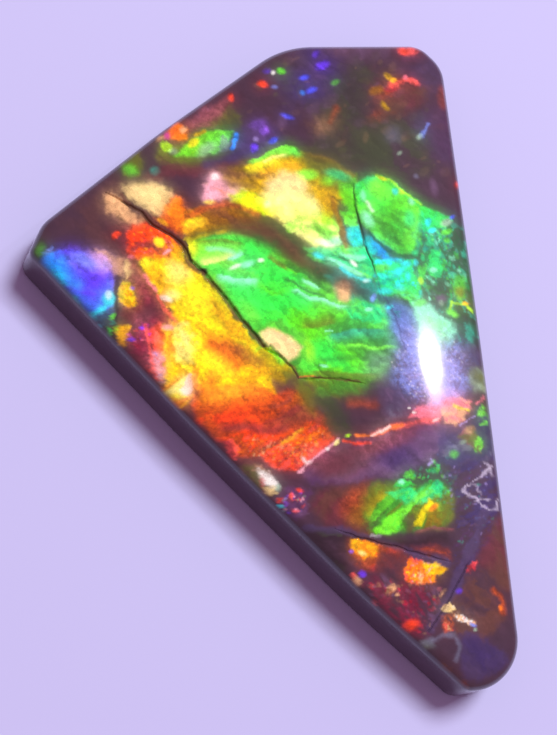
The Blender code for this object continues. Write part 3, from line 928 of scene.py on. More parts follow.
# Yellow field: folded shell below the main crack.
YELLOW_FIELD: tuple[Mark, ...] = (
    Patch((T.AMBER, T.AMBER, T.YELLOW, T.YELLOW), (-5.5, 4.4, -4.9, 4.5, -4.2, 4.5, -3.5, 4.7, -3.1, 4,
        -2.7, 3.6, -1.6, 2.1, -0.8, 0.9, -0.5, 0.3, -0.2, -1, -2, -1.3, -3.2, -1.3, -4, -1, -4.7, -0.8,
        -4.7, 0, -4.6, 1.6, -4.1, 2, -4.5, 2.6, -4.7, 3.1, -5, 3.6, -5.4, 4), 0.1, 1, 0.12, 0.3, -50, 2.2,
        0.6),
    Spot(T.YELLOW, -5.15, 4.3, 0.28, 0.2, 20, 0.9, 0.5),
    Spot(T.PALE, -3.9, 3.9, 0.5, 0.45, -40, 0.55, 0.8),
    Spot(T.YELLOW, -3.4, 2.9, 0.9, 0.5, -50, 0.6, 0.8),
    Fold(T.OLIVE, (-1.2, 1.9, -1.8, 2.7, -2.4, 3.4, -2.9, 3.9), 0.3, 0.5),
    Fold(T.BRONZE, (-2.9, 2.9, -2.3, 2.1, -1.8, 1.4), 0.35, 0.5, 0.3),
    Spot(T.WHITE, -4.4, 2.85, 0.22, 0.12, -20, 0.9, 0.5),
    Spot(T.PALE, -4.15, 3, 0.3, 0.2, 0, 0.7, 0.8),
    Fold(T.RUST, (-4.3, 3.5, -4.6, 3, -4.3, 2.4), 0.2, 0.5),
    Fold(T.SCARLET, (-3.1, 1.1, -2.6, 0.7, -2, 0.2, -1.6, -0.3), 0.8, 0.75, 0.35),
    Spot(T.RUST, -2, 0.75, 0.55, 0.3, -35, 0.7, 0.8),
    Fold(T.UMBER, (-1.9, 0.9, -1.2, 0.4, -0.5, 0.1), 0.5, 0.6, 0.4),
    Patch((T.OLIVE, T.GOLD, T.GRASS), (-1, 0.8, -0.4, 0.9, 0, 0.6, 0.5, 0.2, 0.7, -0.4, 0.2, -0.6,
        -0.5, -0.1), 0.15, 0.9, 0.1, 0.4, -45, 2, 0.8),
    Fold(T.LIME, (-1, 0.6, -0.6, 0.85, -0.2, 0.7)),
    Patch((T.YELLOW, T.PALE, T.YELLOW), (-4.2, 1.8, -3.6, 1.9, -3.2, 1, -3.4, 0.2, -4.1, 0.3, -4.3, 1),
        0.15),
    Fold(T.ORANGE, (-4.1, 0.5, -4.35, 1.1, -4.2, 1.8), 0.25, 0.7),
    Spot(T.PALE, -3.75, 1.2, 0.16, 0.3, 20, 0.7, 0.7),
    Spot(T.PINK, -4.4, 1.65, 0.2, 0.1, 0, 0.7, 0.7),
    Fold(T.YELLOW, (-3.3, 0.1, -3.1, 0.9, -3.1, 1.7), 0.4),
    Patch((T.YELLOW, T.PALE), (-4.85, -1, -4.2, -0.6, -3.9, -0.3, -3.4, -0.2, -3.5, -0.8, -3.65, -1.2,
        -4.4, -1.15), 0.06, 1, 0.06, 0.3, 20),
    # Painted highlight: a crisp white triangle on the yellow fold.
    Patch((T.WHITE,), (-4.15, -0.85, -3.6, -0.2, -3.5, -0.45, -3.6, -1.1, -3.9, -1), 0.05, 0.95),
    Fold(T.ORANGE, (-4.9, -0.95, -4.4, -0.65, -3.9, -0.25), 0.2, 0.7),
    Patch((T.ORANGE, T.AMBER, T.SCARLET), (-4.85, -1, -4.4, -1.15, -3.7, -1.15, -3.5, -0.8, -3.6, -1.3,
        -4.15, -1.75, -4.4, -1.45), 0.06, 1, 0.08, 0.16, 30, 2.5),
    Fold(T.SCARLET, (-3.35, -1, -3.35, -0.4, -3.2, 0.2), 0.5, 0.5),
    Fold(T.ORANGE, (-2.6, 0, -2.9, -0.6, -3.3, -1), 0.5, 0.7, 0.3),
    Spot(T.YELLOW, -2.5, 0.2, 0.7, 0.3, -40, 0.8, 0.8),
    Fold(T.YELLOW, (-1.6, 2.2, -2.3, 2.9, -2.9, 3.6), 0.2, 0.5),
    Specks((T.BRONZE, T.ORANGE, T.OLIVE, T.YELLOW, T.RUST, T.AMBER), (-4.6, 4.4, -3.2, 4.4, -2.2, 2.9, -1, 1,
        0.2, 0, -0.8, -0.8, -3.4, -0.4, -4.5, 1.2), 420, 0.03, 0.11, 0.45, -50),
)

# Red field: scarlet and brown bands at the lower left edge.
RED_FIELD: tuple[Mark, ...] = (
    Patch((T.SCARLET, T.RUST, T.SCARLET, T.ORANGE), (-3.6, -0.9, -2.6, -1, -0.6, -0.9, 0.7, -1, 1.9, -2.2,
        1.9, -2.9, 0.6, -3.4, -1, -3.4, -2.4, -3, -3.4, -2.1), 0.12, 1, 0.1, 0.5, 30, 3.5, 0.8),
    Fold(T.ORANGE, (-0.3, -1.1, -1.2, -0.85, -2.4, -0.95, -3.4, -1.15), 0.8, 0.85, 0.3),
    Spot(T.AMBER, -2, -1, 0.9, 0.25, 12, 0.7, 0.8),
    Fold(T.MAROON, (-2.9, -2.45, -1.6, -2.4, -0.4, -2.6, 0.6, -2.4), 0.4, 0.65, 0.25),
    Patch((T.UMBER, T.MAROON, T.RUST, T.UMBER), (-0.7, -1.1, 0.6, -1, 1.7, -1.9, 1.6, -2.4, 0.2, -2.5,
        -1, -2.2), 0.35, 0.85, 0.1, 0.6, 20, 3, 1),
    Patch((T.OLIVE, T.UMBER, T.BRONZE, T.UMBER), (0.5, -0.4, 1.6, -0.6, 2.2, -0.6, 3.2, -1, 2.6, -1.3,
        1.5, -1.2, 1.4, -2, 1, -1.6, 0.5, -0.9), 0.3, 0.85, 0.1, 0.5, -60, 3, 1),
    Patch((T.SCARLET, T.CORAL, T.SCARLET, T.RUST, T.ORANGE), (-2.4, -2.9, -1.6, -2.7, -0.4, -2.9, 0.6, -2.6,
        1, -2.2, 1.9, -2.5, 2.2, -2.9, 1.5, -3.5, 0.9, -3.7, 0.5, -4.2, -0.3, -4.2, -0.9, -3.7, -1.8, -3.5,
        -2.3, -3.4), 0.1, 1, 0.1, 0.2, 35, 3),
    Patch((T.CRIMSON, T.CORAL, T.WINE), (-2.5, -3, -2, -2.9, -1.8, -3.5, -2.2, -3.6), 0.06, 0.95),
    Fold(T.MAROON, (-1.4, -3.6, -0.6, -3.2, 0.3, -2.9, 1, -2.4), 0.22, 0.7),
    Fold(T.MAROON, (-0.4, -4.1, 0.3, -3.5, 1.1, -3.1), 0.2),
    Fold(T.AMBER, (0.9, -2.4, 0.3, -2.85, -0.3, -3.15), 0.14, 0.8),
    Specks((T.ORANGE, T.PEACH, T.MAROON, T.CORAL, T.MAROON, T.AMBER), (-2.2, -3.3, -1.4, -2.7, 0.4, -2.8,
        1.4, -2.4, 1.9, -2.8, 0.4, -4, -0.4, -3.8), 210, 0.03, 0.1, 0.75, 35),
    Streak(T.WHITE, (0.7, -3.65, 0.85, -3.85, 1, -3.8), 0.18, 0.85, 0.07),
    Spot(T.PINK, 0.62, -4.22, 0.15, 0.08, 20, 0.95, 0.5),
    Streak(T.PINK, (0.6, -4.25, 0.85, -3.95, 1.1, -3.75, 1.5, -3.5, 1.8, -3.35, 2.05, -3.15, 2.25, -3), 0.12,
        0.85),
    Spot(T.WHITE, 1.78, -3.35, 0.09, 0.08, 0, 0.9, 0.5),
    Spot(T.PALE, 2.18, -3.1, 0.14, 0.08, 45, 0.95, 0.5),
    Spot(T.LIME, 2.68, -2.83, 0.11, 0.06, 20, 0.95, 0.5),
    Patch((T.UMBER, T.OLIVE, T.TAN, T.BRONZE), (-1.8, -3.9, -1.1, -4, -0.6, -4.3, -1, -5.2, -1.6, -4.7),
        0.15, 0.75, 0.1, 0.2),
    Patch((T.CREAM, T.WHITE, T.WHITE), (-1.2, -4.1, -0.7, -4.3, -0.35, -4.6, -0.3, -4.9, -0.6, -5,
        -0.9, -4.7), 0.08, 0.95, 0.1, 0.14),
    Patch((T.GOLD, T.CREAM, T.AMBER), (-0.95, -4.9, -0.6, -4.95, -0.45, -5.1, -0.7, -5.25, -0.95, -5.15),
        0.06, 1),
    Spot(T.SAGE, -0.38, -4.85, 0.1, 0.14, -20),
    Spot(T.CRIMSON, -0.98, -4.6, 0.08, 0.2, 0, 0.6, 0.7),
    Patch((T.SHALE, T.PLUM, T.MAUVE), (-0.6, -5.4, 0, -4.9, 0.9, -5, 0.8, -5.8, 0.2, -6.2, -0.3, -6), 0.12,
        0.8),
    Specks((T.CORAL, T.MAUVE, T.AMETHYST, T.PINK, T.VIOLET, T.SAGE), (-0.5, -5.3, 0, -5, 0.8, -5, 0.7, -5.7,
        0.2, -6, -0.3, -5.8), 30, 0.05, 0.13, 0.8, 40),
    Spot(T.CORAL, 0.14, -5.18, 0.12, 0.09, 60, 0.9, 0.5),
    Spot(T.SCARLET, 0.5, -4.98, 0.14, 0.07, -20),
    Spot(T.SCARLET, -0.35, -5.35, 0.12, 0.08, 30),
    Spot(T.CYAN, -0.35, -5.58, 0.13, 0.06, -15),
)

# Ledge above the main crack: olive, green and pale yellow.
GREEN_LEDGE: tuple[Mark, ...] = (
    Patch((T.BRONZE, T.GOLD, T.GOLD, T.OLIVE), (-2.3, 8.2, -1, 8.5, 0.3, 8.7, 1.4, 9.3, 2.3, 9.2, 3, 8.9,
        3.9, 8.3, 3.8, 7, 2.4, 7.4, 0.4, 7.4, -0.8, 7.4, -1.6, 7.8), 0.2, 0.95, 0.08, 0.9, 15, 4, 1),
    Patch((T.OLIVE, T.MOSS, T.FERN), (1.2, 9.4, 2.3, 9.2, 3.2, 8.8, 3.9, 8.2, 3.4, 7.5, 2.5, 8.1, 1.9, 8.6),
        0.25, 0.85, 0.08, 0.6, 20, 3, 1),
    Fold(T.UMBER, (-2.2, 8.35, -1.2, 8.2, -0.2, 8.3, 0.6, 8.4), 0.3, 0.8, 0.35),
    Fold(T.UMBER, (-2, 7.7, -1.2, 7.75, -0.2, 7.6), 0.4, 0.6, 0.2),
    Fold(T.AMBER, (1.8, 8.65, 1, 8.8, 0.2, 8.55, -0.4, 8.3), 0.35, 0.7, 0.15),
    Fold(T.GRASS, (1.6, 9.45, 1, 9.62, 0.4, 9.35, -0.1, 9.05, -0.8, 8.7), 0.4, 1),
    Spot(T.GRASS, 1, 9.35, 0.35, 0.2, 20),
    Fold(T.YELLOW, (0.9, 9.15, 0.2, 8.95, -0.4, 8.65, -1, 8.4), 0.35, 0.95, 0.15),
    Fold(T.PALE, (1.1, 9.25, 0.4, 9.05, -0.1, 8.85), 0.14, 0.85),
    Spot(T.EMERALD, 1.35, 9.3, 0.25, 0.18, -30, 0.6, 0.8),
    Spot(T.GRASS, 1.85, 8.3, 0.42, 0.22, 0, 0.9),
    Spot(T.JADE, 3.2, 8.35, 0.5, 0.2, -15, 0.75),
    Spot(T.LEAF, 2.75, 8.1, 0.3, 0.2, 20, 0.6, 0.8),
    Spot(T.CREAM, 0.9, 7.65, 0.9, 0.62, 15, 0.95, 0.4),
    Spot(T.PALE, 1.35, 6.95, 0.9, 0.6, -25, 1, 0.4),
    Spot(T.PALE, 0.3, 7.1, 0.5, 0.35, 0, 0.8, 0.7),
    Patch((T.PEACH, T.PINK, T.ORANGE), (-2.6, 7.8, -2.2, 8.1, -1.6, 7.8, -0.9, 7.5, -1.3, 7.1, -2.4, 7.2),
        0.15, 0.9, 0.1, 0.3, -25, 2),
    Spot(T.PINK, -2.3, 7.25, 0.36, 0.26, 0, 0.9),
    Spot(T.YELLOW, -2.4, 6.98, 0.2, 0.09, 0, 0.7, 0.7),
    Spot(T.PINK, -2.15, 8.1, 0.26, 0.2, 0, 0.6, 0.7),
    Spot(T.WHITE, -2.13, 8.1, 0.16, 0.14, 0, 0.95, 0.5),
    Patch((T.YELLOW, T.YELLOW, T.LIME), (-1.6, 7.3, -1, 7.5, -0.2, 7.3, 0.4, 7.2, 0.4, 6.5, -0.1, 6.3,
        -0.7, 6.7, -1.4, 6.95), 0.12, 0.95, 0.1, 0.4, -20, 2.5),
    Patch((T.YELLOW, T.PALE), (0.2, 6.9, 1.2, 7, 1.6, 6.6, 1.3, 6.2, 0.6, 6.1, 0, 6.4), 0.15, 0.95),
    Spot(T.MINT, 0.05, 7, 0.14, 0.16, 0, 0.5, 0.8),
)

# Green field: the large bright middle of the face.
GREEN_FIELD: tuple[Mark, ...] = (
    Patch((T.UMBER, T.BRONZE, T.RUST), (-3.4, 6.6, -2.4, 6.85, -1.4, 6.8, -0.4, 6.4, 0.5, 6, 1.3, 5.5,
        0.5, 5.3, -0.6, 5.8, -2, 5.8, -3.4, 5.5), 0.12, 1, 0.12, 0.6, -15, 3),
    Streak(T.RUST, (-3.3, 6.35, -2.4, 6.75, -1.6, 6.9, -0.9, 6.75, -0.35, 6.45), 0.32, 0.9, 0.12),
    Spot(T.YELLOW, -3.1, 6.05, 0.4, 0.18, 10, 0.95, 0.5),
    Streak(T.AMBER, (-3.5, 5.75, -3, 5.95, -2.6, 6.1), 0.2, 0.8, 0.1),
    Streak(T.GOLD, (-3.5, 5.35, -2.6, 5.6, -1.8, 5.75), 0.14, 0.6, 0.07),
    Patch((T.FERN, T.LEAF, T.EMERALD, T.LEAF), (-3.4, 5.4, -1.5, 5.7, 0.2, 5.2, 1.2, 4.4, 2.4, 3.6, 3.4, 3,
        5, 2.8, 5.3, 0.9, 4.6, -0.2, 3.4, -0.7, 0.9, -0.6, 0.4, 0.3, -0.6, 0.9, -1.2, 1.9, -2.2, 3.2,
        -3, 4.1), 0.2, 1, 0.06, 1, -30, 3, 1),
    Patch((T.OLIVE, T.UMBER, T.MOSS, T.MOSS), (-1.6, 6.3, 0.3, 6.3, 1.3, 5.6, 1.9, 4.9, 2.6, 4.3, 2.8, 3.6,
        1.9, 3.6, 1, 4.3, 0, 5, -1.6, 5.7), 0.25, 0.95, 0.06, 0.8, -38, 4, 1),
    Fold(T.MOSS, (2.7, 4.1, 1.8, 4.9, 1.2, 5.5, 0.2, 6.2, -0.8, 6.6), 0.5, 0.8, 0.15),
    Spot(T.GRASS, -2.5, 4.85, 0.95, 0.35, 5, 0.85, 0.7),
    Fold(T.OLIVE, (-1, 5.2, -2, 5.4, -3.3, 5.25), 0.3),
    Spot(T.YELLOW, -3.25, 5, 0.2, 0.3, 0, 0.7, 0.8),
    Fold(T.PALE, (-3, 4.25, -2.2, 4.4, -1.4, 4.75), 0.35, 0.75),
    Streak(T.MINT, (-2.6, 5, -2.1, 4.95, -1.6, 4.8), 0.2, 0.6, 0.1),
    Fold(T.MINT, (-1.9, 4.45, -1.4, 4.65, -1.1, 4.8), 0.2, 0.9),
    # Painted highlights on the ridge: the white and mint dabs of these three lines.
    Spot(T.WHITE, -1.5, 4.22, 0.24, 0.07, 25, 0.85, 0.7),
    Spot(T.MINT, -1, 4.35, 0.28, 0.12, 20, 0.9, 0.7),
    Spot(T.WHITE, -0.42, 4.5, 0.12, 0.08, 0, 0.85, 0.7),
    Spot(T.EMERALD, -1.2, 3, 0.9, 0.6, -55, 0.95, 0.7),
    Fold(T.MINT, (-0.5, 3.76, -1.1, 3.68, -1.7, 3.7, -2.4, 3.84), 0.32, 0.95),
    Spot(T.GRASS, -1, 2.3, 0.5, 0.22, -55, 0.6, 0.8),
    Fold(T.FOREST, (0, 4.4, 0.7, 4.3, 1.4, 3.95, 2.1, 3.4, 2.7, 3), 0.22),
    Fold(T.MINT, (2.1, 3.3, 1.7, 3.55, 1.2, 3.8), 0.14, 0.9),
    Fold(T.FOREST, (0.3, 3.85, 1, 3.5, 1.6, 3.15, 2.3, 2.98), 0.14, 0.8),
    Fold(T.BRONZE, (-0.2, 4.75, 0.3, 4.35, 0.7, 4.15), 0.25, 0.5),
    Fold(T.MINT, (3.3, 2.6, 2.8, 2.62, 2.1, 2.92, 1.6, 2.9, 1.1, 3.25, 0.7, 3.2), 0.16, 0.95),
    Fold(T.OLIVE, (1, 1.7, 1.8, 1.75, 2.7, 2), 0.5, 0.75, 0.12),
    Spot(T.LIME, 1.2, 0.8, 0.5, 0.25, -70, 0.55, 0.8),
    Fold(T.SEA, (4.9, 1.5, 3.8, 1.6, 2.8, 1.5, 2, 1.3), 0.45, 0.7),
    Streak(T.MINT, (2.1, 1.52, 2.4, 1.58), 0.06, 0.8, 0.03),
    Fold(T.GRASS, (5.3, 0.85, 4.7, 0.92, 4.1, 0.8, 3.5, 0.96, 2.6, 0.9), 0.14, 0.9),
    Fold(T.FOREST, (1.6, 0.35, 2.4, 0.35, 3.6, 0.4), 0.2, 0.5, 0.2),
    Fold(T.OLIVE, (4.6, -0.25, 3.2, -0.3, 2, -0.2, 1.2, -0.2), 0.5, 0.7, 0.1),
    Spot(T.MINT, 1.9, 0.06, 0.16, 0.05, -10),
    Patch((T.SLATE, T.SAGE), (4, 0.6, 5.2, 0.7, 5.6, -0.3, 4.6, -0.6, 3.6, -0.2), 0.4, 0.5, 0.1, 0.4, 0, 3,
        1),
    Patch((T.LIME, T.GRASS, T.PALE, T.GRASS), (0.7, 6.1, 1.3, 6.3, 2.1, 6.6, 3, 6.3, 3.1, 5.5, 2.7, 4.95,
        1.9, 5.1, 1.5, 5.5, 0.9, 5.8), 0.1, 1, 0.1, 0.35, -35, 2),
    Patch((T.OLIVE, T.GOLD, T.FERN), (2, 7.6, 2.9, 7.6, 3, 6.9, 2.8, 6.3, 2.3, 6.2, 2.1, 6.8)),
    Spot(T.GRASS, 2.65, 6.05, 0.3, 0.28),
    Spot(T.PALE, 2.75, 5.98, 0.2, 0.12, -20),
    Patch((T.EMERALD, T.JADE, T.GRASS, T.EMERALD), (1.5, 5.05, 2.4, 5.1, 3.2, 5.3, 4.1, 5.2, 4.5, 4.4,
        4.3, 3.7, 3.6, 3.8, 2.9, 4.2, 2, 4.5, 1.6, 4.7), 0.08, 1, 0.08, 0.4, -30, 2.5),
    Fold(T.LIME, (1, 6.5, 1.6, 6.35, 2.4, 6.3, 2.9, 6), 0.5, 0.6, 0.2),
    Fold(T.FERN, (2.9, 5.7, 2.2, 5.9, 1.5, 6.1), 0.2, 0.5, 0.15),
    Fold(T.PALE, (3, 5.25, 2.4, 5.35, 1.7, 5.6, 1.2, 5.9), 0.3, 0.8),
    Fold(T.FOREST, (4.2, 4.4, 3.3, 4.6, 2.5, 4.85), 0.12),
    Fold(T.MINT, (4.1, 3.85, 3.5, 4.2, 2.9, 4.5, 2.2, 4.7), 0.3, 0.85),
    Fold(T.FOREST, (4.2, 3.7, 3.4, 4, 2.7, 4.4, 2, 4.55), 0.1),
    # The white dabs in these lines are painted highlights on the lobe's ridges.
    Spot(T.WHITE, 2.4, 5.3, 0.34, 0.13, -10, 0.95),
    Spot(T.MINT, 2.85, 5.4, 0.3, 0.16, 20, 0.7, 0.7),
    Spot(T.CYAN, 2.05, 4.75, 0.24, 0.12, -20, 0.85),
    Streak(T.MINT, (3.1, 4.85, 3.6, 4.75, 4, 4.7), 0.2, 0.7, 0.1),
    Spot(T.WHITE, 3.57, 4.45, 0.18, 0.08, -45, 0.9),
    Streak(T.CYAN, (3, 4.2, 3.4, 3.9, 3.8, 3.72, 4.2, 3.68), 0.2, 0.8, 0.08),
    Spot(T.WHITE, 4.05, 3.68, 0.14, 0.07, 10, 0.5, 0.7),
    Patch((T.FERN, T.LEAF), (3.2, 8, 3.9, 8.3, 4, 7, 3.9, 6.3, 3.5, 6.8, 3.2, 7.2), 0.12, 0.95),
    Streak(T.BRONZE, (2.85, 7.3, 2.95, 6.8, 3.1, 6.3, 3.2, 5.9, 3.2, 5.5, 3.3, 5.2), 0.24, 0.9, 0.07),
    Patch((T.EMERALD, T.GRASS), (3.2, 6.7, 3.6, 6.8, 3.85, 6.2, 3.75, 5.9, 3.4, 6.1), 0.07, 1),
    Patch((T.JADE, T.CYAN, T.EMERALD), (3.35, 6, 3.9, 6.1, 4, 5.7, 4.05, 5.3, 3.6, 5.2, 3.4, 5.6), 0.07, 1,
        0.06, 0.25),
    Patch((T.FERN, T.TEAL, T.SHALE), (2.3, 3.9, 3, 4, 3.6, 3.6, 4.3, 3.6, 4.6, 3.1, 4.5, 2.8, 3.4, 2.8,
        2.6, 3)),
    Patch((T.NAVY, T.SMOKE), (3.3, 3.4, 4, 3.3, 4.5, 3, 4.4, 2.8, 3.5, 2.8), 0.1, 0.75),
    Spot(T.UMBER, 2.95, 3.6, 0.4, 0.3, 0, 0.6, 0.8),
    Spot(T.TAN, 2.95, 3.3, 0.34, 0.3),
    Spot(T.PEACH, 3, 3.05, 0.26, 0.26, 0, 0.95, 0.5),
    Spot(T.PERI, 4.3, 2.95, 0.18, 0.1, 50),
    Patch((T.EMERALD, T.LEAF, T.EMERALD, T.JADE), (3.9, 8, 4.5, 8.35, 5.2, 8.35, 5.8, 8, 6.3, 7.6, 6.8, 7.2,
        6.7, 6.4, 6.6, 5.6, 6.2, 4.95, 5.5, 4.9, 4.8, 5.4, 4.4, 5.9, 4, 6.2, 3.95, 7), 0.08, 1, 0.05, 0.8,
        -50, 2.5, 1),
    Spot(T.GRASS, 4.95, 7.75, 0.5, 0.3, -30, 0.8, 0.7),
    Streak(T.LIME, (4.9, 8.35, 5.5, 8.15, 6, 7.75, 6.5, 7.35, 6.8, 7.1), 0.1, 0.7, 0.06, 0.06, 0.2),
    Spot(T.YELLOW, 5.2, 8.25, 0.18, 0.08, -20, 0.7),
    Spot(T.CYAN, 5.72, 7.68, 0.12, 0.13, 0, 0.7),
    Spot(T.LIME, 6, 7.65, 0.14, 0.1),
    Spot(T.MINT, 6.4, 7.25, 0.12, 0.14, 0, 0.6, 0.7),
    # Painted highlight on the lobe's left rim.
    Streak(T.WHITE, (4.4, 7.15, 4.6, 6.8), 0.13, 0.75, 0.1),
    Spot(T.MINT, 4.35, 6.4, 0.3, 0.2, -60, 0.7, 0.8),
    Spot(T.MINT, 4.25, 7.45, 0.12, 0.2, 0, 0.6, 0.8),
    Patch((T.FOREST, T.FERN, T.FOREST), (4.9, 6.6, 5.5, 7.1, 6, 6.8, 6.2, 6.1, 6.3, 5.5, 5.9, 5.2, 5.4, 5.3,
        5, 5.8), 0.35, 0.65, 0.08, 0.6, -50, 2.5, 1),
    Fold(T.GRASS, (6.2, 5.2, 6.45, 5.8, 6.5, 6.5, 6.65, 7.2), 0.6, 0.5, 0.3),
    Fold(T.FOREST, (4.6, 6.6, 4.9, 6, 5.4, 5.4, 6, 5.3), 0.5, 0.45, 0.15),
    Spot(T.JADE, 6.25, 6.45, 0.2, 0.3, -10, 0.7, 0.7),
    Patch((T.JADE, T.FERN, T.TEAL, T.EMERALD), (6.4, 6.2, 6.8, 6.5, 7, 6.2, 6.8, 5.6, 6.5, 5, 6.3, 5.6)),
    Patch((T.JADE, T.CYAN, T.SEA), (4.1, 5.7, 4.5, 5.6, 4.6, 5, 4.3, 4.8, 4.15, 5.1), 0.1),
    Patch((T.CYAN, T.AZURE, T.CYAN), (4.45, 5.65, 4.8, 5.5, 5.1, 5.1, 5, 4.8, 4.6, 4.8, 4.5, 5.2), 0.12, 1),
    Streak(T.FOREST, (4.4, 5.75, 4.75, 5.45, 5.1, 5.05, 5.5, 4.86, 6.1, 4.8, 6.6, 4.9), 0.16, 0.85, 0.06),
    Streak(T.AZURE, (4.9, 4.75, 5.3, 4.6, 5.7, 4.55), 0.22, 0.7, 0.1),
    Patch((T.TEAL, T.JADE, T.EMERALD, T.CYAN, T.SEA), (4.4, 4.6, 5.2, 4.7, 6, 4.6, 6.5, 4.65, 6.2, 4.1,
        6.4, 3.6, 6.3, 3, 5.9, 2.7, 5.4, 3.1, 4.9, 3.1, 4.6, 3, 4.4, 3.7), 0.08, 1, 0.12, 0.2, 10, 1.3),
    Streak(T.CYAN, (4.45, 4.5, 4.8, 4.6, 5.2, 4.7)),
    Spot(T.LEAF, 4.8, 4.28, 0.32, 0.14, 8, 0.95, 0.5),
    Spot(T.CYAN, 5.9, 4.45, 0.2, 0.12, 10, 0.9),
    Spot(T.CYAN, 6.35, 4.5, 0.1, 0.14),
    Spot(T.CYAN, 5.5, 4.1, 0.3, 0.14, 30),
    Spot(T.CYAN, 5.9, 3.9, 0.1, 0.16),
    Spot(T.CYAN, 4.85, 3.9, 0.22, 0.1, 0, 0.7),
    Spot(T.CYAN, 4.85, 3.25, 0.26, 0.12, 0, 0.7),
    Spot(T.CYAN, 5.45, 3.45, 0.22, 0.14, -30, 0.7),
    Patch((T.GRASS, T.LEAF, T.MINT), (5.2, 3.4, 5.7, 3.4, 6.1, 3.1, 6.2, 2.8, 5.7, 2.8, 5.3, 3), 0.1, 0.7,
        0.1, 0.2),
    Spot(T.JADE, 6.35, 4.95, 0.14, 0.14, 0, 0.7, 0.7),
    Patch((T.EMERALD, T.JADE, T.LEAF), (2.9, 2.5, 3.4, 2.78, 4.3, 2.72, 4.65, 2.5, 4.85, 2, 4.4, 1.8,
        3.8, 1.9, 3.2, 2), 0.07, 1, 0.08, 0.35, 10, 2),
    Spot(T.MINT, 4.05, 2.45, 0.17, 0.08, 15, 0.9),
    Patch((T.SHALE, T.NAVY, T.SMOKE), (4.6, 3.1, 5.1, 3.1, 5.3, 2.7, 4.9, 2.6, 4.6, 2.7), 0.08, 0.8),
    Patch((T.SLATE, T.STEEL, T.STEEL, T.TEAL), (4.75, 2.6, 5.3, 2.7, 5.9, 2.6, 6.3, 2, 6.4, 1.6, 5.6, 1.4,
        5.1, 1.2, 4.9, 1.9), 0.15, 0.95, 0.1, 0.22),
    Spot(T.CYAN, 4.98, 2.55, 0.14, 0.08, 20),
    Patch((T.GRASS, T.MINT, T.SAGE), (6, 2.8, 6.4, 2.95, 6.8, 2.6, 7.2, 2.2, 7.8, 1.9, 7.9, 1.4, 7.4, 0.9,
        6.9, 1.2, 6.3, 1.6, 6, 2.3), 0.15, 0.9, 0.1, 0.4, -40, 2),
    Spot(T.LEAF, 6.35, 2.75, 0.28, 0.14, 15),
)
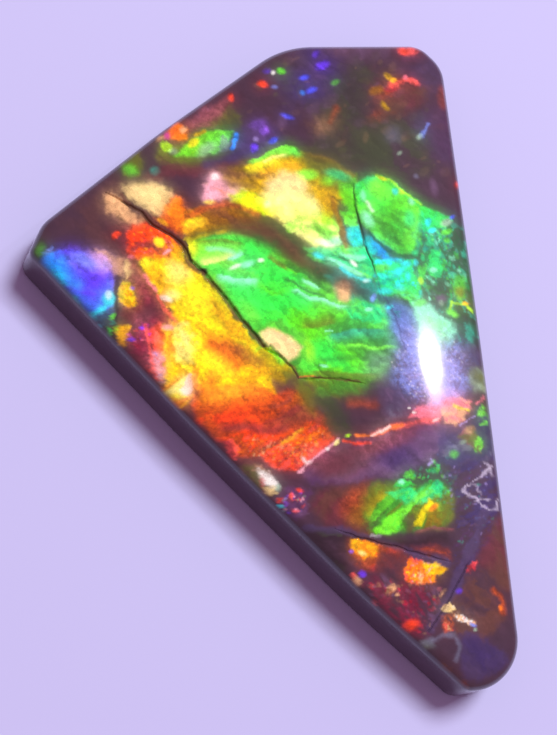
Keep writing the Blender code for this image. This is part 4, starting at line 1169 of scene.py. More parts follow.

# Straight right edge: green flakes on slate, and a painted lilac highlight halo round the glint.
RIGHT_EDGE: tuple[Mark, ...] = (
    Patch((T.SLATE, T.FOREST, T.SMOKE, T.SEA, T.DUSK), (6.5, 5.7, 7.2, 5.9, 7.7, 6.2, 8.2, 6.3, 8.8, 6,
        8.95, 3, 8.95, 0.8, 8, 1, 7.8, 1.9, 7.2, 2.3, 6.7, 2.8, 6.4, 3.6, 6.4, 4.3, 6.7, 5), 0.15, 0.85, 0.1,
        0.22, -75, 1.8, 0.2),
    Specks((T.EMERALD, T.JADE, T.LEAF, T.MINT, T.SHALE, T.SEA), (6.5, 6.2, 7.9, 6.3, 8.3, 5, 8.7, 3,
        7.6, 2.4, 6.6, 3, 6.3, 4.4), 150, 0.05, 0.15, 0.85, -70),
    Patch((T.JADE, T.EMERALD, T.JADE), (6.65, 7.1, 7.3, 6.9, 8, 6.6, 8.25, 6.5, 7.9, 6.2, 7.5, 6.1, 7.1, 5.9,
        6.7, 6.1), 0.06, 1, 0.1, 0.3, -70, 1.5),
    Spot(T.CYAN, 7.05, 6.35, 0.13, 0.18, -30, 0.95, 0.5),
    Spot(T.CYAN, 7.22, 5.98, 0.18, 0.1, 20, 0.9, 0.5),
    Spot(T.SAGE, 7.9, 6.35, 0.26, 0.14, 20, 0.95, 0.5),
    Spot(T.INDIGO, 8.2, 6.6, 0.13, 0.07, 30),
    Spot(T.LEAF, 7.85, 5.92, 0.26, 0.12, 20, 0.95, 0.5),
    Spot(T.LEAF, 7.85, 5.55, 0.13, 0.12),
    Spot(T.JADE, 7.05, 5.38, 0.18, 0.12, 0, 0.75),
    Spot(T.TEAL, 6.85, 5.15, 0.12, 0.1),
    Patch((T.JADE, T.EMERALD), (6.95, 4.8, 7.15, 5.1, 7.42, 5.05, 7.4, 4.6, 7.5, 4.3, 7.35, 3.95, 6.95, 4,
        6.85, 4.4), 0.06, 1, 0.08, 0.3),
    Spot(T.MINT, 7.08, 4.22, 0.15, 0.1, 0, 0.9, 0.5),
    Patch((T.LEAF, T.EMERALD), (6.6, 4.4, 6.85, 4.3, 6.8, 3.95, 6.55, 3.6, 6.4, 3.85), 0.06, 0.95),
    Spot(T.LIME, 6.48, 3.72, 0.12, 0.15, 0, 0.9, 0.5),
    Patch((T.FERN, T.SMOKE, T.JADE), (6.7, 3.6, 7.3, 3.6, 7.4, 3.1, 6.8, 3.1), 0.12, 0.8, 0.1, 0.2),
    Spot(T.SEA, 7.9, 4, 0.16, 0.13, 0, 0.7, 0.7),
    Patch((T.LEAF, T.FERN), (7.8, 3.95, 8.3, 3.85, 8.45, 3.6, 8.5, 3, 8.3, 2.9, 7.9, 3.1), 0.1),
    Spot(T.BRONZE, 8.2, 3.25, 0.2, 0.2, 0, 0.5, 0.7),
    Streak(T.LIME, (7.65, 2.5, 7.75, 2.8, 8.1, 2.75, 8.4, 2.75, 8.65, 2.4), 0.11, 0.85),
    Spot(T.AMBER, 8.38, 2.75, 0.14, 0.08, 0, 0.95, 0.5),
    Spot(T.GRASS, 7.75, 2.3, 0.24, 0.14, -30, 0.85),
    Spot(T.MAUVE, 7.3, 2.95, 0.22, 0.16, 0, 0.7, 0.7),
    Spot(T.SAGE, 7.28, 2.75, 0.1, 0.12, 0, 0.7, 0.7),
    Spot(T.SEA, 8.45, 1.4, 0.13, 0.34, 0, 0.6, 0.7),
    # Painted highlight: the lilac halo round the glint, laid as this patch, the specks and the lilac and
    # periwinkle dabs below.
    Patch((T.SLATE, T.PERI, T.SHALE, T.LILAC), (5, 0.5, 5.6, 1.3, 6.4, 1.5, 7.4, 1.2, 8.3, 0.9, 8.6, 0.2,
        8.2, -0.7, 7.6, -1.3, 6.4, -1.6, 5.5, -1.4, 4.8, -0.6), 0.4, 0.65, 0.1, 0.12, 0, 1),
    Specks((T.WHITE, T.LILAC, T.PERI), (5.2, 0.4, 5.6, -1.4, 6.6, -1.3, 7.6, -0.8, 8.2, 0.6, 7.4, 1.2,
        6, 1.3), 110, 0.03, 0.07),
    Spot(T.LILAC, 6.7, 0.1, 1.5, 1, -70, 0.3, 0.9),
    Spot(T.PERI, 5.9, 0.9, 1, 0.6, -40, 0.25, 0.9),
    Spot(T.GRASS, 6.7, 1.5, 0.7, 0.4, -60, 0.3, 0.9),
    # More of the painted highlight halo round the glint, as white, lilac and dusk specks.
    Specks((T.WHITE, T.LILAC, T.DUSK), (4.8, 0.4, 5.4, -1.8, 6.6, -1.5, 7.8, -0.8, 8.2, 0.9, 7, 1.6,
        5.6, 1.8), 300, 0.03, 0.06),
    Patch((T.DUSK, T.SLATE), (7.8, 0.9, 8.7, 1, 8.8, -0.2, 8.2, -0.3, 7.9, 0.2), 0.15, 0.6),
    Patch((T.OLIVE, T.SAGE), (8.2, 0, 8.8, 0, 8.8, -1.2, 8.3, -1.1, 8, -0.6), 0.12, 0.85),
)

# Lower ledge: maroon and coral between the sheen and the lower third.
LOWER_LEDGE: tuple[Mark, ...] = (
    Fold(T.RUST, (2.6, -1.6, 3.3, -1.5, 4.2, -1.7), 0.35, 0.45, 0.25),
    Patch((T.OLIVE, T.FERN, T.BRONZE), (1.5, -0.6, 2.6, -0.3, 3.8, -0.4, 3.4, -1, 2.6, -1.2, 1.6, -1.2), 0.2,
        0.8, 0.1, 0.5),
    Patch((T.SMOKE, T.MOSS, T.DUSK), (1.5, -1.4, 2, -1.3, 2.7, -2, 2.8, -2.7, 2.2, -2.8, 1.8, -2.4), 0.2,
        0.85),
    Patch((T.MAUVE, T.DUSK, T.SLATE), (3.8, -0.6, 5, -0.8, 5.6, -1.4, 5.3, -2, 4.4, -2.3, 4.2, -1.4), 0.25,
        0.6, 0.1, 0.2),
    Patch((T.SHALE, T.MAROON, T.PLUM, T.MAUVE), (1.2, -3.7, 2.4, -3.1, 4.2, -2.8, 6, -2.3, 6.8, -2.3,
        6.9, -3, 6.2, -4, 4.8, -4.5, 3.2, -4.7, 1, -4.8, 0.7, -4.3), 0.15, 0.95, 0.08, 1, 15, 4, 1),
    Patch((T.UMBER, T.MAROON, T.UMBER, T.ROSEWOOD), (1, -3.9, 2.4, -3.3, 4, -3, 4, -3.5, 3.2, -4.3,
        1.6, -4.6), 0.3, 0.65, 0.1, 0.5, 20, 3, 1),
    Spot(T.NAVY, 4.8, -3.8, 0.9, 0.4, 0, 0.6, 0.8),
    Spot(T.ROSEWOOD, 4.3, -3.15, 1, 0.25, 15, 0.5, 0.8),
    Spot(T.MAROON, 2, -4, 0.8, 0.3, 20, 0.5, 0.8),
    Patch((T.CORAL, T.ROSE, T.ROSE), (5.4, -1.8, 5.9, -1.6, 6.5, -1.6, 6.9, -1.9, 6.6, -2.15, 5.7, -2.15,
        5.3, -2.1), 0.08, 0.9, 0.1, 0.15),
    Patch((T.CORAL, T.PEACH, T.ROSE, T.SCARLET), (6.6, -1.4, 7.2, -1.25, 7.8, -1.3, 8.35, -1.5, 8, -1.9,
        7.6, -2.3, 7.3, -2.55, 6.8, -2.4, 6.7, -1.95), 0.07, 1, 0.1, 0.3, -15, 2.5),
    Patch((T.BLUSH, T.LILAC, T.PINK), (6.2, -0.9, 7.2, -0.9, 7.8, -1.2, 7, -1.35, 6.6, -1.7, 6.2, -1.6),
        0.15, 0.8, 0.1, 0.15),
    Streak(T.YELLOW, (7.35, -1.68, 7.65, -1.8, 8, -1.85)),
    Streak(T.CORAL, (3.7, -2.8, 4.4, -2.62, 5.2, -2.4, 6, -2.28, 6.6, -2.25), 0.24, 0.75, 0.12),
    Streak(T.ORANGE, (3, -2.85, 3.6, -2.85, 4.3, -2.66, 5.1, -2.42), 0.2, 0.9, 0.07),
    Streak(T.WHITE, (3.65, -2.84, 4, -2.7, 4.5, -2.55), 0.14, 0.95, 0.06),
    Streak(T.SCARLET, (2.5, -3.05, 3, -3.15, 3.6, -3.18), 0.16, 0.9, 0.06),
    Spot(T.WHITE, 6.5, -2.25, 0.14, 0.05, 20, 0.6, 0.7),
    Spot(T.WHITE, 5.58, -1.92, 0.08, 0.05, 0, 0.9),
    Spot(T.WHITE, 5.4, -1.73, 0.06, 0.04, 0, 0.7),
    Streak(T.ROSE, (8.45, -1.6, 8.8, -1.35), 0.12, 0.7, 0.06),
    Patch((T.DUSK, T.NAVY, T.SLATE), (6.6, -2.5, 7.3, -2.6, 7.5, -2.4, 8, -2.1, 8.6, -1.6, 8.9, -2.6,
        8.9, -4.2, 7.6, -4.4, 6.4, -4, 6.4, -3.2), 0.12, 0.85, 0.1, 0.2, 15, 2.5),
    Streak(T.LILAC, (7.5, -2.5, 7.8, -2.3, 8.2, -2.15), 0.08, 0.7, 0.04),
    Patch((T.BRONZE, T.OLIVE, T.ROSEWOOD, T.FERN), (7.3, -3, 7.7, -2.6, 8.1, -2.5, 8.2, -2.9, 8.4, -3.4,
        8.3, -3.75, 8, -3.6, 7.7, -3.2), 0.08, 0.9, 0.1, 0.2),
    Spot(T.TAN, 7.95, -2.7, 0.2, 0.13, 30, 0.6, 0.7),
    Patch((T.LEAF, T.GRASS, T.OLIVE), (8.15, -3, 8.35, -2.95, 8.45, -3.2, 8.3, -3.7, 8, -3.65), 0.05, 0.9,
        0.08, 0.12),
    Spot(T.LEAF, 7.15, -3.7, 0.18, 0.14, 0, 0.6, 0.7),
    Spot(T.SAGE, 7.6, -3.2, 0.14, 0.08, 20, 0.6, 0.7),
    Patch((T.LEAF, T.GRASS, T.LEAF), (8.3, -2.1, 8.55, -1.9, 8.75, -1.7, 8.75, -2.1), 0.06, 0.95),
    Streak(T.GRASS, (8.4, -2.45, 8.75, -2.4), 0.12, 0.85),
)

# Lower third: brown, green, red and dark shell down to the narrow end.
LOWER_THIRD: tuple[Mark, ...] = (
    Patch((T.UMBER, T.RUST, T.UMBER, T.MAROON), (1.2, -5, 2.6, -4.7, 3.8, -4.9, 3.9, -5.6, 3.2, -6.7,
        2.2, -6.6, 1.4, -6.3, 0.9, -5.6), 0.3, 0.85, 0.1, 0.7, 45, 3.5, 1),
    Spot(T.RUST, 2.7, -5.5, 0.6, 0.4, 45, 0.55, 0.8),
    Spot(T.BRONZE, 2.9, -6, 0.5, 0.35, 30, 0.7, 0.8),
    Patch((T.MOSS, T.FERN, T.OLIVE, T.FERN), (3, -5.3, 3.8, -4.8, 4.6, -4.7, 5.4, -5, 6.6, -4.9, 7, -5.4,
        6.8, -6.2, 6.2, -6.6, 4.8, -6.7, 3.4, -6.9, 3.1, -6.1), 0.2, 0.95, 0.1, 0.5, 40, 3.5, 1),
    Fold(T.LEAF, (3.2, -6.4, 3.8, -5.9, 4.4, -5.4, 4.9, -5.1), 0.45),
    Patch((T.FERN, T.JADE, T.LEAF), (4.1, -5.2, 4.5, -4.95, 5.3, -5, 6, -4.85, 6.5, -4.9, 6.3, -5.5,
        5.6, -5.6, 4.8, -5.5), 0.08, 1, 0.1, 0.35, 30, 2),
    Patch((T.LEAF, T.EMERALD, T.JADE), (4.35, -4.85, 4.7, -4.6, 5, -4.7, 5.3, -4.85, 4.9, -4.9), 0.05, 0.95),
    Spot(T.MINT, 4.75, -4.75, 0.12, 0.09),
    Patch((T.LEAF, T.JADE), (5, -4.5, 5.4, -4.25, 5.5, -4.6, 5.1, -4.65), 0.06),
    Patch((T.EMERALD, T.JADE, T.LEAF), (6, -4.35, 6.3, -4.2, 6.5, -4, 6.55, -4.3, 6.35, -4.5, 6.1, -4.45),
        0.05, 0.95),
    Streak(T.LILAC, (6.05, -4.1, 6.2, -3.95, 6.15, -3.85), 0.1, 0.7),
    Fold(T.GRASS, (4.6, -6.3, 5, -5.8, 5.5, -5.4, 6.2, -5.2), 0.3, 0.7),
    Fold(T.GOLD, (3.2, -6.2, 3.6, -5.6, 4.2, -5.2), 0.35, 0.4),
    Patch((T.LEAF, T.GRASS, T.EMERALD), (3.3, -6.6, 3.9, -6.2, 4.5, -5.8, 4.75, -5.7, 4.7, -6.2, 4.4, -6.7,
        3.6, -6.85), 0.07, 1, 0.08, 0.3, 40, 2.5),
    Streak(T.WHITE, (3.3, -6.85, 3.6, -6.9), 0.1),
    Patch((T.SHALE, T.MAROON), (4.7, -6, 5, -6, 5.2, -6.6, 4.7, -6.7), 0.1, 0.7),
    Specks((T.GRASS, T.EMERALD, T.JADE, T.FOREST, T.SEA), (4.4, -4.9, 6.2, -3.9, 7.3, -4.6, 6.4, -5.8,
        5.2, -5.6), 120, 0.03, 0.1, 0.6, 35),
    Patch((T.GOLD, T.YELLOW, T.AMBER), (5.1, -6.5, 5.3, -6.2, 5.6, -5.75, 5.9, -5.5, 6, -5.8, 5.6, -6.1,
        5.4, -6.55), 0.06, 0.95, 0.08, 0.25, 50, 2.5),
    Spot(T.ORANGE, 6, -5.85, 0.2, 0.1, 30),
    Patch((T.OLIVE, T.BRONZE, T.GOLD), (5.6, -6, 6.1, -5.9, 6.2, -6.4, 5.7, -6.6), 0.12, 0.7),
    Patch((T.DUSK, T.NAVY, T.SHALE, T.PLUM), (6.6, -4.3, 8.9, -4, 8.95, -7, 8.3, -7.4, 7.2, -8.2, 6.5, -8.4,
        6.6, -7.2, 7, -6.2, 6.9, -5.2), 0.15, 0.85, 0.1, 0.18, 20, 3),
    Streak(T.DUSK, (8.3, -6.2, 7.6, -7.2, 7, -8.2, 6.3, -9.4, 5.4, -10.6), 0.5, 0.75, 0.12, 0.08),
    Specks((T.STEEL, T.SEA, T.MAUVE, T.LILAC), (6.4, -3.4, 8.8, -3.6, 8.6, -7, 7, -7.6, 6.6, -5.6), 80, 0.03,
        0.1, 0.45, 20),
    Patch((T.SHALE, T.MAROON, T.UMBER, T.MAROON), (7.9, -7.6, 8.6, -6.6, 9.1, -6.2, 9.2, -9.6, 8.6, -9.2,
        8, -8.4, 7.6, -8.2), 0.2, 0.8, 0.1, 0.7, -70, 3, 1),
    Streak(T.LINEN, (7.35, -5.15, 7.6, -4.95, 8, -4.8, 8.4, -4.55, 8.75, -4.3), 0.1, 0.75, 0.04, 0.1, 0.2),
    Streak(T.LINEN, (8.55, -4.1, 8.7, -4.3, 8.8, -4.7), 0.08, 0.65, 0.04, 0.1, 0.2),
    Streak(T.LINEN, (7.4, -5.15, 7.6, -5.35, 7.9, -5.45, 8.1, -5.8, 8.4, -6.05, 8.75, -6, 8.85, -5.6), 0.12,
        0.75, 0.05, 0.1, 0.15),
    Streak(T.LINEN, (7.9, -5.65, 8.2, -5.5, 8.5, -5.55), 0.14, 0.6, 0.06, 0.1, 0.3),
    Streak(T.LINEN, (7.9, -4.95, 8.2, -5.3), 0.1, 0.5, 0.05, 0.1, 0.3),
    Streak(T.DUSK, (0.6, -6.45, 2, -6.6, 3.3, -7, 4.6, -7.45, 6.3, -8.05), 0.38, 0.8, 0.1, 0.06),
    Streak(T.SHALE, (3.5, -7, 4.4, -6.85, 5.6, -6.95, 6.8, -7), 0.25, 0.7, 0.1, 0.06),
    Patch((T.SHALE, T.INK, T.MOSS), (0.4, -6.6, 1.6, -6.5, 3.2, -6.9, 4.6, -7.1, 6.4, -6.8, 6.6, -7.4,
        5.4, -7.2, 4.4, -7.4, 2.6, -7.2, 2.2, -7.9, 1.9, -8.4, 1, -7.6), 0.12, 0.85, 0.08, 0.6, -15, 3),
    Fold(T.ROSEWOOD, (6.9, -6.7, 6, -6.6, 5, -6.8)),
    Patch((T.MAROON, T.RUST, T.MAROON, T.SHALE), (4.8, -7.3, 5.5, -7.25, 6.4, -7.5, 6.5, -7.9, 5.6, -7.7),
        0.12, 0.8, 0.08, 0.3, -20, 3, 0.8),
    Patch((T.MAROON, T.RUST, T.SCARLET), (2.4, -7, 3.2, -7.1, 4.4, -7.4, 4.6, -7.8, 3.6, -8.4, 2.8, -8.2,
        2.3, -7.6), 0.2, 0.7, 0.1, 0.3),
    Patch((T.ORANGE, T.AMBER, T.ORANGE), (2.45, -7, 2.9, -7, 3.5, -7.3, 3.4, -7.7, 2.9, -7.85, 2.4, -7.4),
        0.08, 1, 0.08, 0.25),
    Spot(T.PALE, 2.85, -7.55, 0.16, 0.08, -20),
    Spot(T.AMETHYST, 2.4, -7.45, 0.09, 0.06),
    Patch((T.MAROON, T.SHALE, T.MAROON), (3.6, -7.5, 4.5, -7.6, 4.6, -8.2, 4.4, -8.6, 3, -8.6, 3.4, -8.1),
        0.15, 0.75, 0.1, 0.4, -40, 2, 0.8),
    Patch((T.SCARLET, T.CORAL, T.ORANGE, T.PEACH), (4.55, -8.7, 4.5, -8.2, 4.75, -7.7, 5.2, -7.85, 5.5, -8,
        5.6, -8.7, 5.3, -8.95), 0.06, 1, 0.1, 0.2, 60, 1.8),
    Patch((T.YELLOW, T.AMBER, T.YELLOW), (5.3, -8, 5.9, -8, 6.3, -8.3, 6.1, -8.45, 5.6, -8.55, 5.4, -8.3),
        0.06, 1, 0.08, 0.25),
    Patch((T.AMBER, T.ORANGE, T.PINK), (5.3, -8.5, 5.9, -8.5, 5.8, -8.8, 5.4, -8.95), 0.06, 0.9, 0.08, 0.15),
    Specks((T.PALE, T.CORAL, T.PINK, T.SCARLET, T.YELLOW), (4.6, -8.1, 5.3, -7.9, 6.1, -8.1, 5.6, -8.8,
        4.7, -8.7), 60, 0.03, 0.08, 0.8, 40),
    Spot(T.PEACH, 2.5, -8.6, 0.16, 0.2, 30, 0.9, 0.5),
    Spot(T.VIOLET, 2.78, -8.35, 0.13, 0.12),
    Spot(T.CORAL, 2.4, -8.4, 0.1, 0.12, 0, 0.7),
    Patch((T.MAROON, T.SHALE, T.WINE, T.SHALE, T.MAUVE), (2.6, -8.7, 3.6, -8.5, 4.6, -8.8, 5.6, -9,
        6.2, -9.2, 5.8, -10, 5.2, -11, 4.4, -10.9, 3.4, -9.8), 0.2, 0.75, 0.1, 0.3, -60, 2.5, 0.8),
    Specks((T.ROSEWOOD, T.SHALE, T.CRIMSON, T.MAUVE, T.TAN, T.INK), (2.8, -8.7, 4.6, -8.6, 6.1, -9.1,
        5.2, -10.9, 4.4, -10.8), 120, 0.03, 0.12, 0.55, -50),
    Patch((T.PEACH, T.TAN, T.RUST), (3.65, -9.15, 3.8, -8.9, 4.1, -8.8, 4.15, -9.05, 3.9, -9.2), 0.06, 0.95,
        0.06, 0.15),
    Spot(T.PEACH, 4.15, -9.22, 0.08, 0.05, 0, 0.7),
    Spot(T.CORAL, 3.1, -9.6, 0.12, 0.16, 0, 0.75),
    Spot(T.SCARLET, 4.6, -10.4, 0.3, 0.2, 15, 0.85),
    Streak(T.TAN, (5.95, -9.35, 6.2, -9.1), 0.1, 0.7),
    Streak(T.SAGE, (4.1, -10.85, 4.35, -10.95), 0.09, 0.6),
    Patch((T.SHALE, T.UMBER, T.DUSK), (6.4, -9.6, 7.2, -8.6, 7.8, -8.5, 8.3, -9.3, 8.5, -10.4, 7.6, -11.2,
        6.4, -10.9), 0.15, 0.75, 0.1, 0.5),
    Patch((T.CRIMSON, T.CORAL), (7.2, -8.4, 7.45, -8.05, 7.65, -8.1, 7.5, -8.4), 0.06),
    Spot(T.VIOLET, 6.75, -9.2, 0.12, 0.1, 0, 0.6, 0.7),
    Streak(T.RUST, (8.3, -9.3, 8.55, -9.5, 8.65, -9.8, 8.5, -10.1), 0.24, 0.85, 0.1),
    Spot(T.ORANGE, 8.47, -9.95, 0.08, 0.1),
    Patch((T.PEACH, T.CREAM, T.WHITE), (5.98, -9.85, 6.2, -9.55, 6.45, -9.5, 6.65, -9.8, 6.35, -9.95), 0.04,
        1, 0.12, 0.1, 40),
    Patch((T.SCARLET, T.PEACH, T.WHITE, T.CORAL), (6.5, -10, 6.8, -10.1, 6.95, -10.3, 7.2, -10.4, 7.4, -10.6,
        7, -10.55, 6.65, -10.4), 0.05, 1, 0.12, 0.1, -30),
    Patch((T.UMBER, T.RUST, T.SHALE), (5.9, -10.1, 6.5, -10, 6.5, -10.7, 5.9, -10.8), 0.08, 0.8, 0.1, 0.15),
    Patch((T.PEACH, T.CORAL, T.RUST), (5.95, -10.4, 6.1, -10.4, 6.4, -10.75, 6, -10.7), 0.05, 0.85, 0.08,
        0.1),
    Spot(T.PERI, 7.2, -10.55, 0.14, 0.06, -30),
    Spot(T.SAGE, 7.28, -10.75, 0.07, 0.06),
)

# Narrow end: slate and rust.
TIP: tuple[Mark, ...] = (
    Patch((T.NAVY, T.DUSK), (6.6, -10.9, 7.3, -10.9, 8.4, -11.6, 8.6, -12, 7.6, -12.6, 6.7, -12.6,
        6.5, -11.8), 0.15, 0.75),
    Streak(T.SLATE, (5, -11.15, 5.4, -11.05, 5.9, -10.85, 6.4, -10.9, 6.5, -11.3, 6.35, -11.9), 0.2, 0.55,
        0.09),
    Patch((T.SLATE, T.SAGE), (4.9, -11.1, 5.4, -11, 5.4, -11.4, 5, -11.5), 0.12, 0.5),
    Patch((T.UMBER, T.RUST, T.BRONZE), (5.3, -11.8, 5.7, -12.4, 6.3, -12.9, 6.7, -12.9, 6.6, -12.6,
        6, -12.3), 0.15, 0.75, 0.1, 0.3),
    Streak(T.TAN, (6.2, -13, 6.5, -13.05, 6.7, -12.95), 0.12, 0.6, 0.06),
)


def crack_marks(path: Path, width: float) -> tuple[Mark, ...]:
    """Brown floor and dark lips of an open crack."""
    aside = np.array((1.0, 0.6)) * (width * 0.42)
    upper, lower = (tuple((rows(path) + aside * side).ravel()) for side in (1.0, -1.0))
    return (
        Streak(T.UMBER, path, width, 0.75, 0.05, 0.04),
        Streak(T.INK, upper, width * 0.3, 0.7, 0.04, 0.05),
        Streak(T.INK, lower, width * 0.3, 0.4, 0.04, 0.05, 0.1),
    )


# Cracks and the lines that run on from them, laid last.
CRACKS: tuple[Mark, ...] = (
    Patch((T.FERN, T.LEAF), (-0.9, 1.6, 0.2, 2, 1.2, 1.5, 1.1, 0.4, 0.7, 0, 0.2, 0.3), 0.15),
    Patch((T.CREAM, T.CREAM, T.PEACH), (-0.72, 1.4, -0.3, 1.6, 0.3, 1.45, 0.75, 1.15, 0.98, 0.9, 0.8, 0.5,
        0.4, 0.25, 0.1, 0.5, -0.3, 0.85, -0.6, 1), 0.14, 1, 0.06, 0.6),
    *crack_marks((-6.0, 7.2, -5.85, 6.95, -5.5, 6.7, -5.2, 6.5, -4.9, 6.1, -4.5, 5.8, -4.0, 5.5, -3.55, 5.2,
        -3.45, 4.5, -3.1, 4.05, -2.8, 3.9), 0.24),
    *crack_marks((-2.85, 3.95, -2.75, 3.7, -2.4, 3.3, -2.0, 2.8, -1.7, 2.3, -1.4, 1.95, -1.15, 1.8,
        -1.0, 1.5, -0.8, 1.2, -0.6, 0.88), 0.2),
    *crack_marks((-0.6, 0.88, -0.3, 0.85, -0.1, 0.65, 0.1, 0.5, 0.3, 0.2, 0.55, 0.05, 0.65, -0.1,
        0.75, -0.45), 0.1),
    Streak(T.UMBER, (0.75, -0.45, 1.5, -0.42, 2, -0.45, 2.8, -0.55, 3.4, -0.6), 0.09, 0.8, 0.04),
    Streak(T.ORANGE, (0.85, -0.42, 1.2, -0.4, 1.5, -0.38), 0.05, 0.6, 0.03),
    Streak(T.INK, (-3.1, 4.05, -2.9, 4.08, -2.65, 4.02), 0.09, 0.75),
    Streak(T.FOREST, (3.85, 8, 3.85, 7.2, 3.95, 6.3, 4.05, 5.6, 4.2, 5, 4.4, 4.3, 4.45, 4.1), 0.08, 0.8,
        0.04),
    Streak(T.NAVY, (4.45, 4.1, 4.65, 3.3, 4.9, 2.9, 5.15, 2.2, 5.35, 1.5, 5.5, 0.7), 0.08, 0.6),
)

ALL_MARKS: tuple[Mark, ...] = (
    *UPPER_END, *LEFT_EDGE, *LEFT_CORNER, *RED_LEFT, *GREEN_LEDGE, *GREEN_FIELD, *YELLOW_FIELD, *RED_FIELD,
    *RIGHT_EDGE, *LOWER_LEDGE, *LOWER_THIRD, *TIP,
)


@dataclass(frozen=True)
class Fracture:
    """An open crack in the polish: its points as x and y in turn, its width and its depth."""

    path: Path
    width: float = 0.10
    depth: float = 0.07


@dataclass
class Fractures:
    """All cracks of the stone, as fine points of its top and as the lines that it is sunk along."""

    noise: Noise
    lines: tuple[Fracture, ...] = (
        Fracture((-6.75, 7.55, -6.15, 7.25, -5.75, 6.95, -5.2, 6.65, -4.75, 6.05, -4.05, 5.6, -3.55, 5.2,
            -3.3, 4.55, -2.75, 4.0, -2.35, 3.45, -1.85, 2.85, -1.35, 2.05, -0.85, 1.45, -0.45, 0.85,
            0.2, 0.45, 0.6, 0.05, 0.85, -0.45), 0.17, 0.13),
        Fracture((0.85, -0.45, 1.7, -0.42, 2.6, -0.45, 3.6, -0.7)),
        Fracture((3.9, 7.9, 3.85, 7.0, 4.1, 5.9, 4.2, 5.1, 4.5, 4.2)),
        Fracture((7.55, -7.95, 6.95, -8.75, 6.35, -9.65, 5.6, -10.6, 5.05, -11.1)),
        Fracture((2.0, -6.5, 3.2, -6.95, 4.4, -7.3, 5.6, -7.7, 6.6, -8.0)),
    )
    spacing: float = 0.045
    drift: float = 0.035
    drift_size: float = 0.4
    lanes: tuple[float, ...] = (0.0, 0.28, 0.55, 0.85, 1.25)
    taper_share: float = 0.12
    least_taper: float = 0.35

    def route(self, line: Fracture) -> np.ndarray:
        """Closely spaced points of a crack, with its small wander."""
        path = rows(line.path)
        pieces = []
        for start, end in zip(path, path[1:]):
            count = max(1, math.ceil(float(np.linalg.norm(end - start)) / self.spacing))
            pieces.append(start + (end - start) * np.arange(count)[:, None] / count)
        points = np.vstack(pieces + [path[-1:]])
        return points + wander(self.noise, points, self.drift_size, 3, 30.0) * self.drift

    def mesh_points(self) -> np.ndarray:
        """Extra points of the top that follow the cracks, closer together than the rest."""
        found = []
        for line in self.lines:
            route = self.route(line)
            along = np.gradient(route, axis=0)
            across = np.stack((-along[:, 1], along[:, 0]), axis=1) / np.linalg.norm(along, axis=1)[:, None]
            for lane in self.lanes:
                for side in (1.0, -1.0) if lane else (1.0,):
                    found.append(route + across * (side * lane * line.width / 2.0))
        return np.vstack(found)

    def curves(self, centre: np.ndarray) -> bpy.types.Object:
        """The cracks as one curve object: half their width is its radius and their depth is its tilt."""
        data = bpy.data.curves.new("fracture_lines", "CURVE")
        data.dimensions = "3D"
        for line in self.lines:
            route = (self.route(line) - centre) * MM
            spline = data.splines.new("POLY")
            spline.points.add(len(route) - 1)
            for number, (point, place) in enumerate(zip(spline.points, route)):
                ends = min(number, len(route) - 1 - number) / (self.taper_share * len(route))
                taper = self.least_taper + (1.0 - self.least_taper) * min(1.0, ends)
                point.co = (place[0], place[1], 0.0, 1.0)
                point.radius = line.width / 2.0 * MM * taper
                point.tilt = line.depth * MM * taper
        curves = bpy.data.objects.new("fracture_lines", data)
        bpy.context.scene.collection.objects.link(curves)
        return curves


class Wire:
    """A shader or geometry socket that Python's operators add Math nodes to."""

    def __init__(self, tree: "Tree", socket: bpy.types.NodeSocket) -> None:
        """Keeps the tree that new nodes go to and the socket that this wire leads from."""
        self.tree = tree
        self.socket = socket

    def math(self, operation: str, *others: "Wire | float", clamp: bool = False) -> "Wire":
        """Adds one Math node on this wire and others.

        Args:
            operation: the Math node's operation.
            others: its further inputs.
            clamp: whether the result is kept between 0 and 1.

        Returns:
            The node's result.
        """
        inputs = {number: value for number, value in enumerate((self, *others))}
        return self.tree.node("ShaderNodeMath", inputs, operation=operation, use_clamp=clamp)

    def __add__(self, other: "Wire | float") -> "Wire":
        """Sum."""
        return self.math("ADD", other)

    __radd__ = __add__

    def __mul__(self, other: "Wire | float") -> "Wire":
        """Product."""
        return self.math("MULTIPLY", other)

    __rmul__ = __mul__

    def __sub__(self, other: "Wire | float") -> "Wire":
        """Difference."""
        return self.math("SUBTRACT", other)

    def __rsub__(self, other: float) -> "Wire":
        """Difference the other way round."""
        return (self * -1.0) + other

    def __truediv__(self, other: "Wire | float") -> "Wire":
        """Quotient."""
        return self.math("DIVIDE", other)

    def __pow__(self, other: "Wire | float") -> "Wire":
        """Power."""
        return self.math("POWER", other)

    def clamped(self) -> "Wire":
        """This value kept between 0 and 1."""
        return self.math("ADD", 0.0, clamp=True)

    def step(self, low: float, high: float) -> "Wire":
        """Smooth step from 0 at low to 1 at high."""
        return self.tree.node("ShaderNodeMapRange", {"Value": self, "From Min": low, "From Max": high},
                              interpolation_type="SMOOTHSTEP")


class Tree:
    """A node tree and the one method that adds nodes to it."""

    def __init__(self, tree: bpy.types.NodeTree) -> None:
        """Keeps the tree."""
        self.tree = tree

    def node(self, kind: str, inputs: dict | None = None, output: int | str = 0, **settings: object) -> Wire:
        """Adds a node.

        Args:
            kind: the node's type.
            inputs: values or wires for its sockets, by name or number.
            output: which output the wire leads from.
            settings: properties, set before the inputs.

        Returns:
            A wire from the chosen output.
        """
        made = self.tree.nodes.new(kind)
        for name, value in settings.items():
            setattr(made, name, value)
        for name, value in (inputs or {}).items():
            socket = made.inputs[name]
            if isinstance(value, Wire):
                self.tree.links.new(value.socket, socket)
            else:
                socket.default_value = value
        return Wire(self, made.outputs[output] if made.outputs else None)

    def mix(self, share: Wire | float, first: Wire, second: Wire | tuple, blend: str = "MIX") -> Wire:
        """Adds a Mix node that lays the second colour on the first by a share."""
        inputs = {0: share, 6: first, 7: second}
        return self.node("ShaderNodeMix", inputs, 2, data_type="RGBA", blend_type=blend)


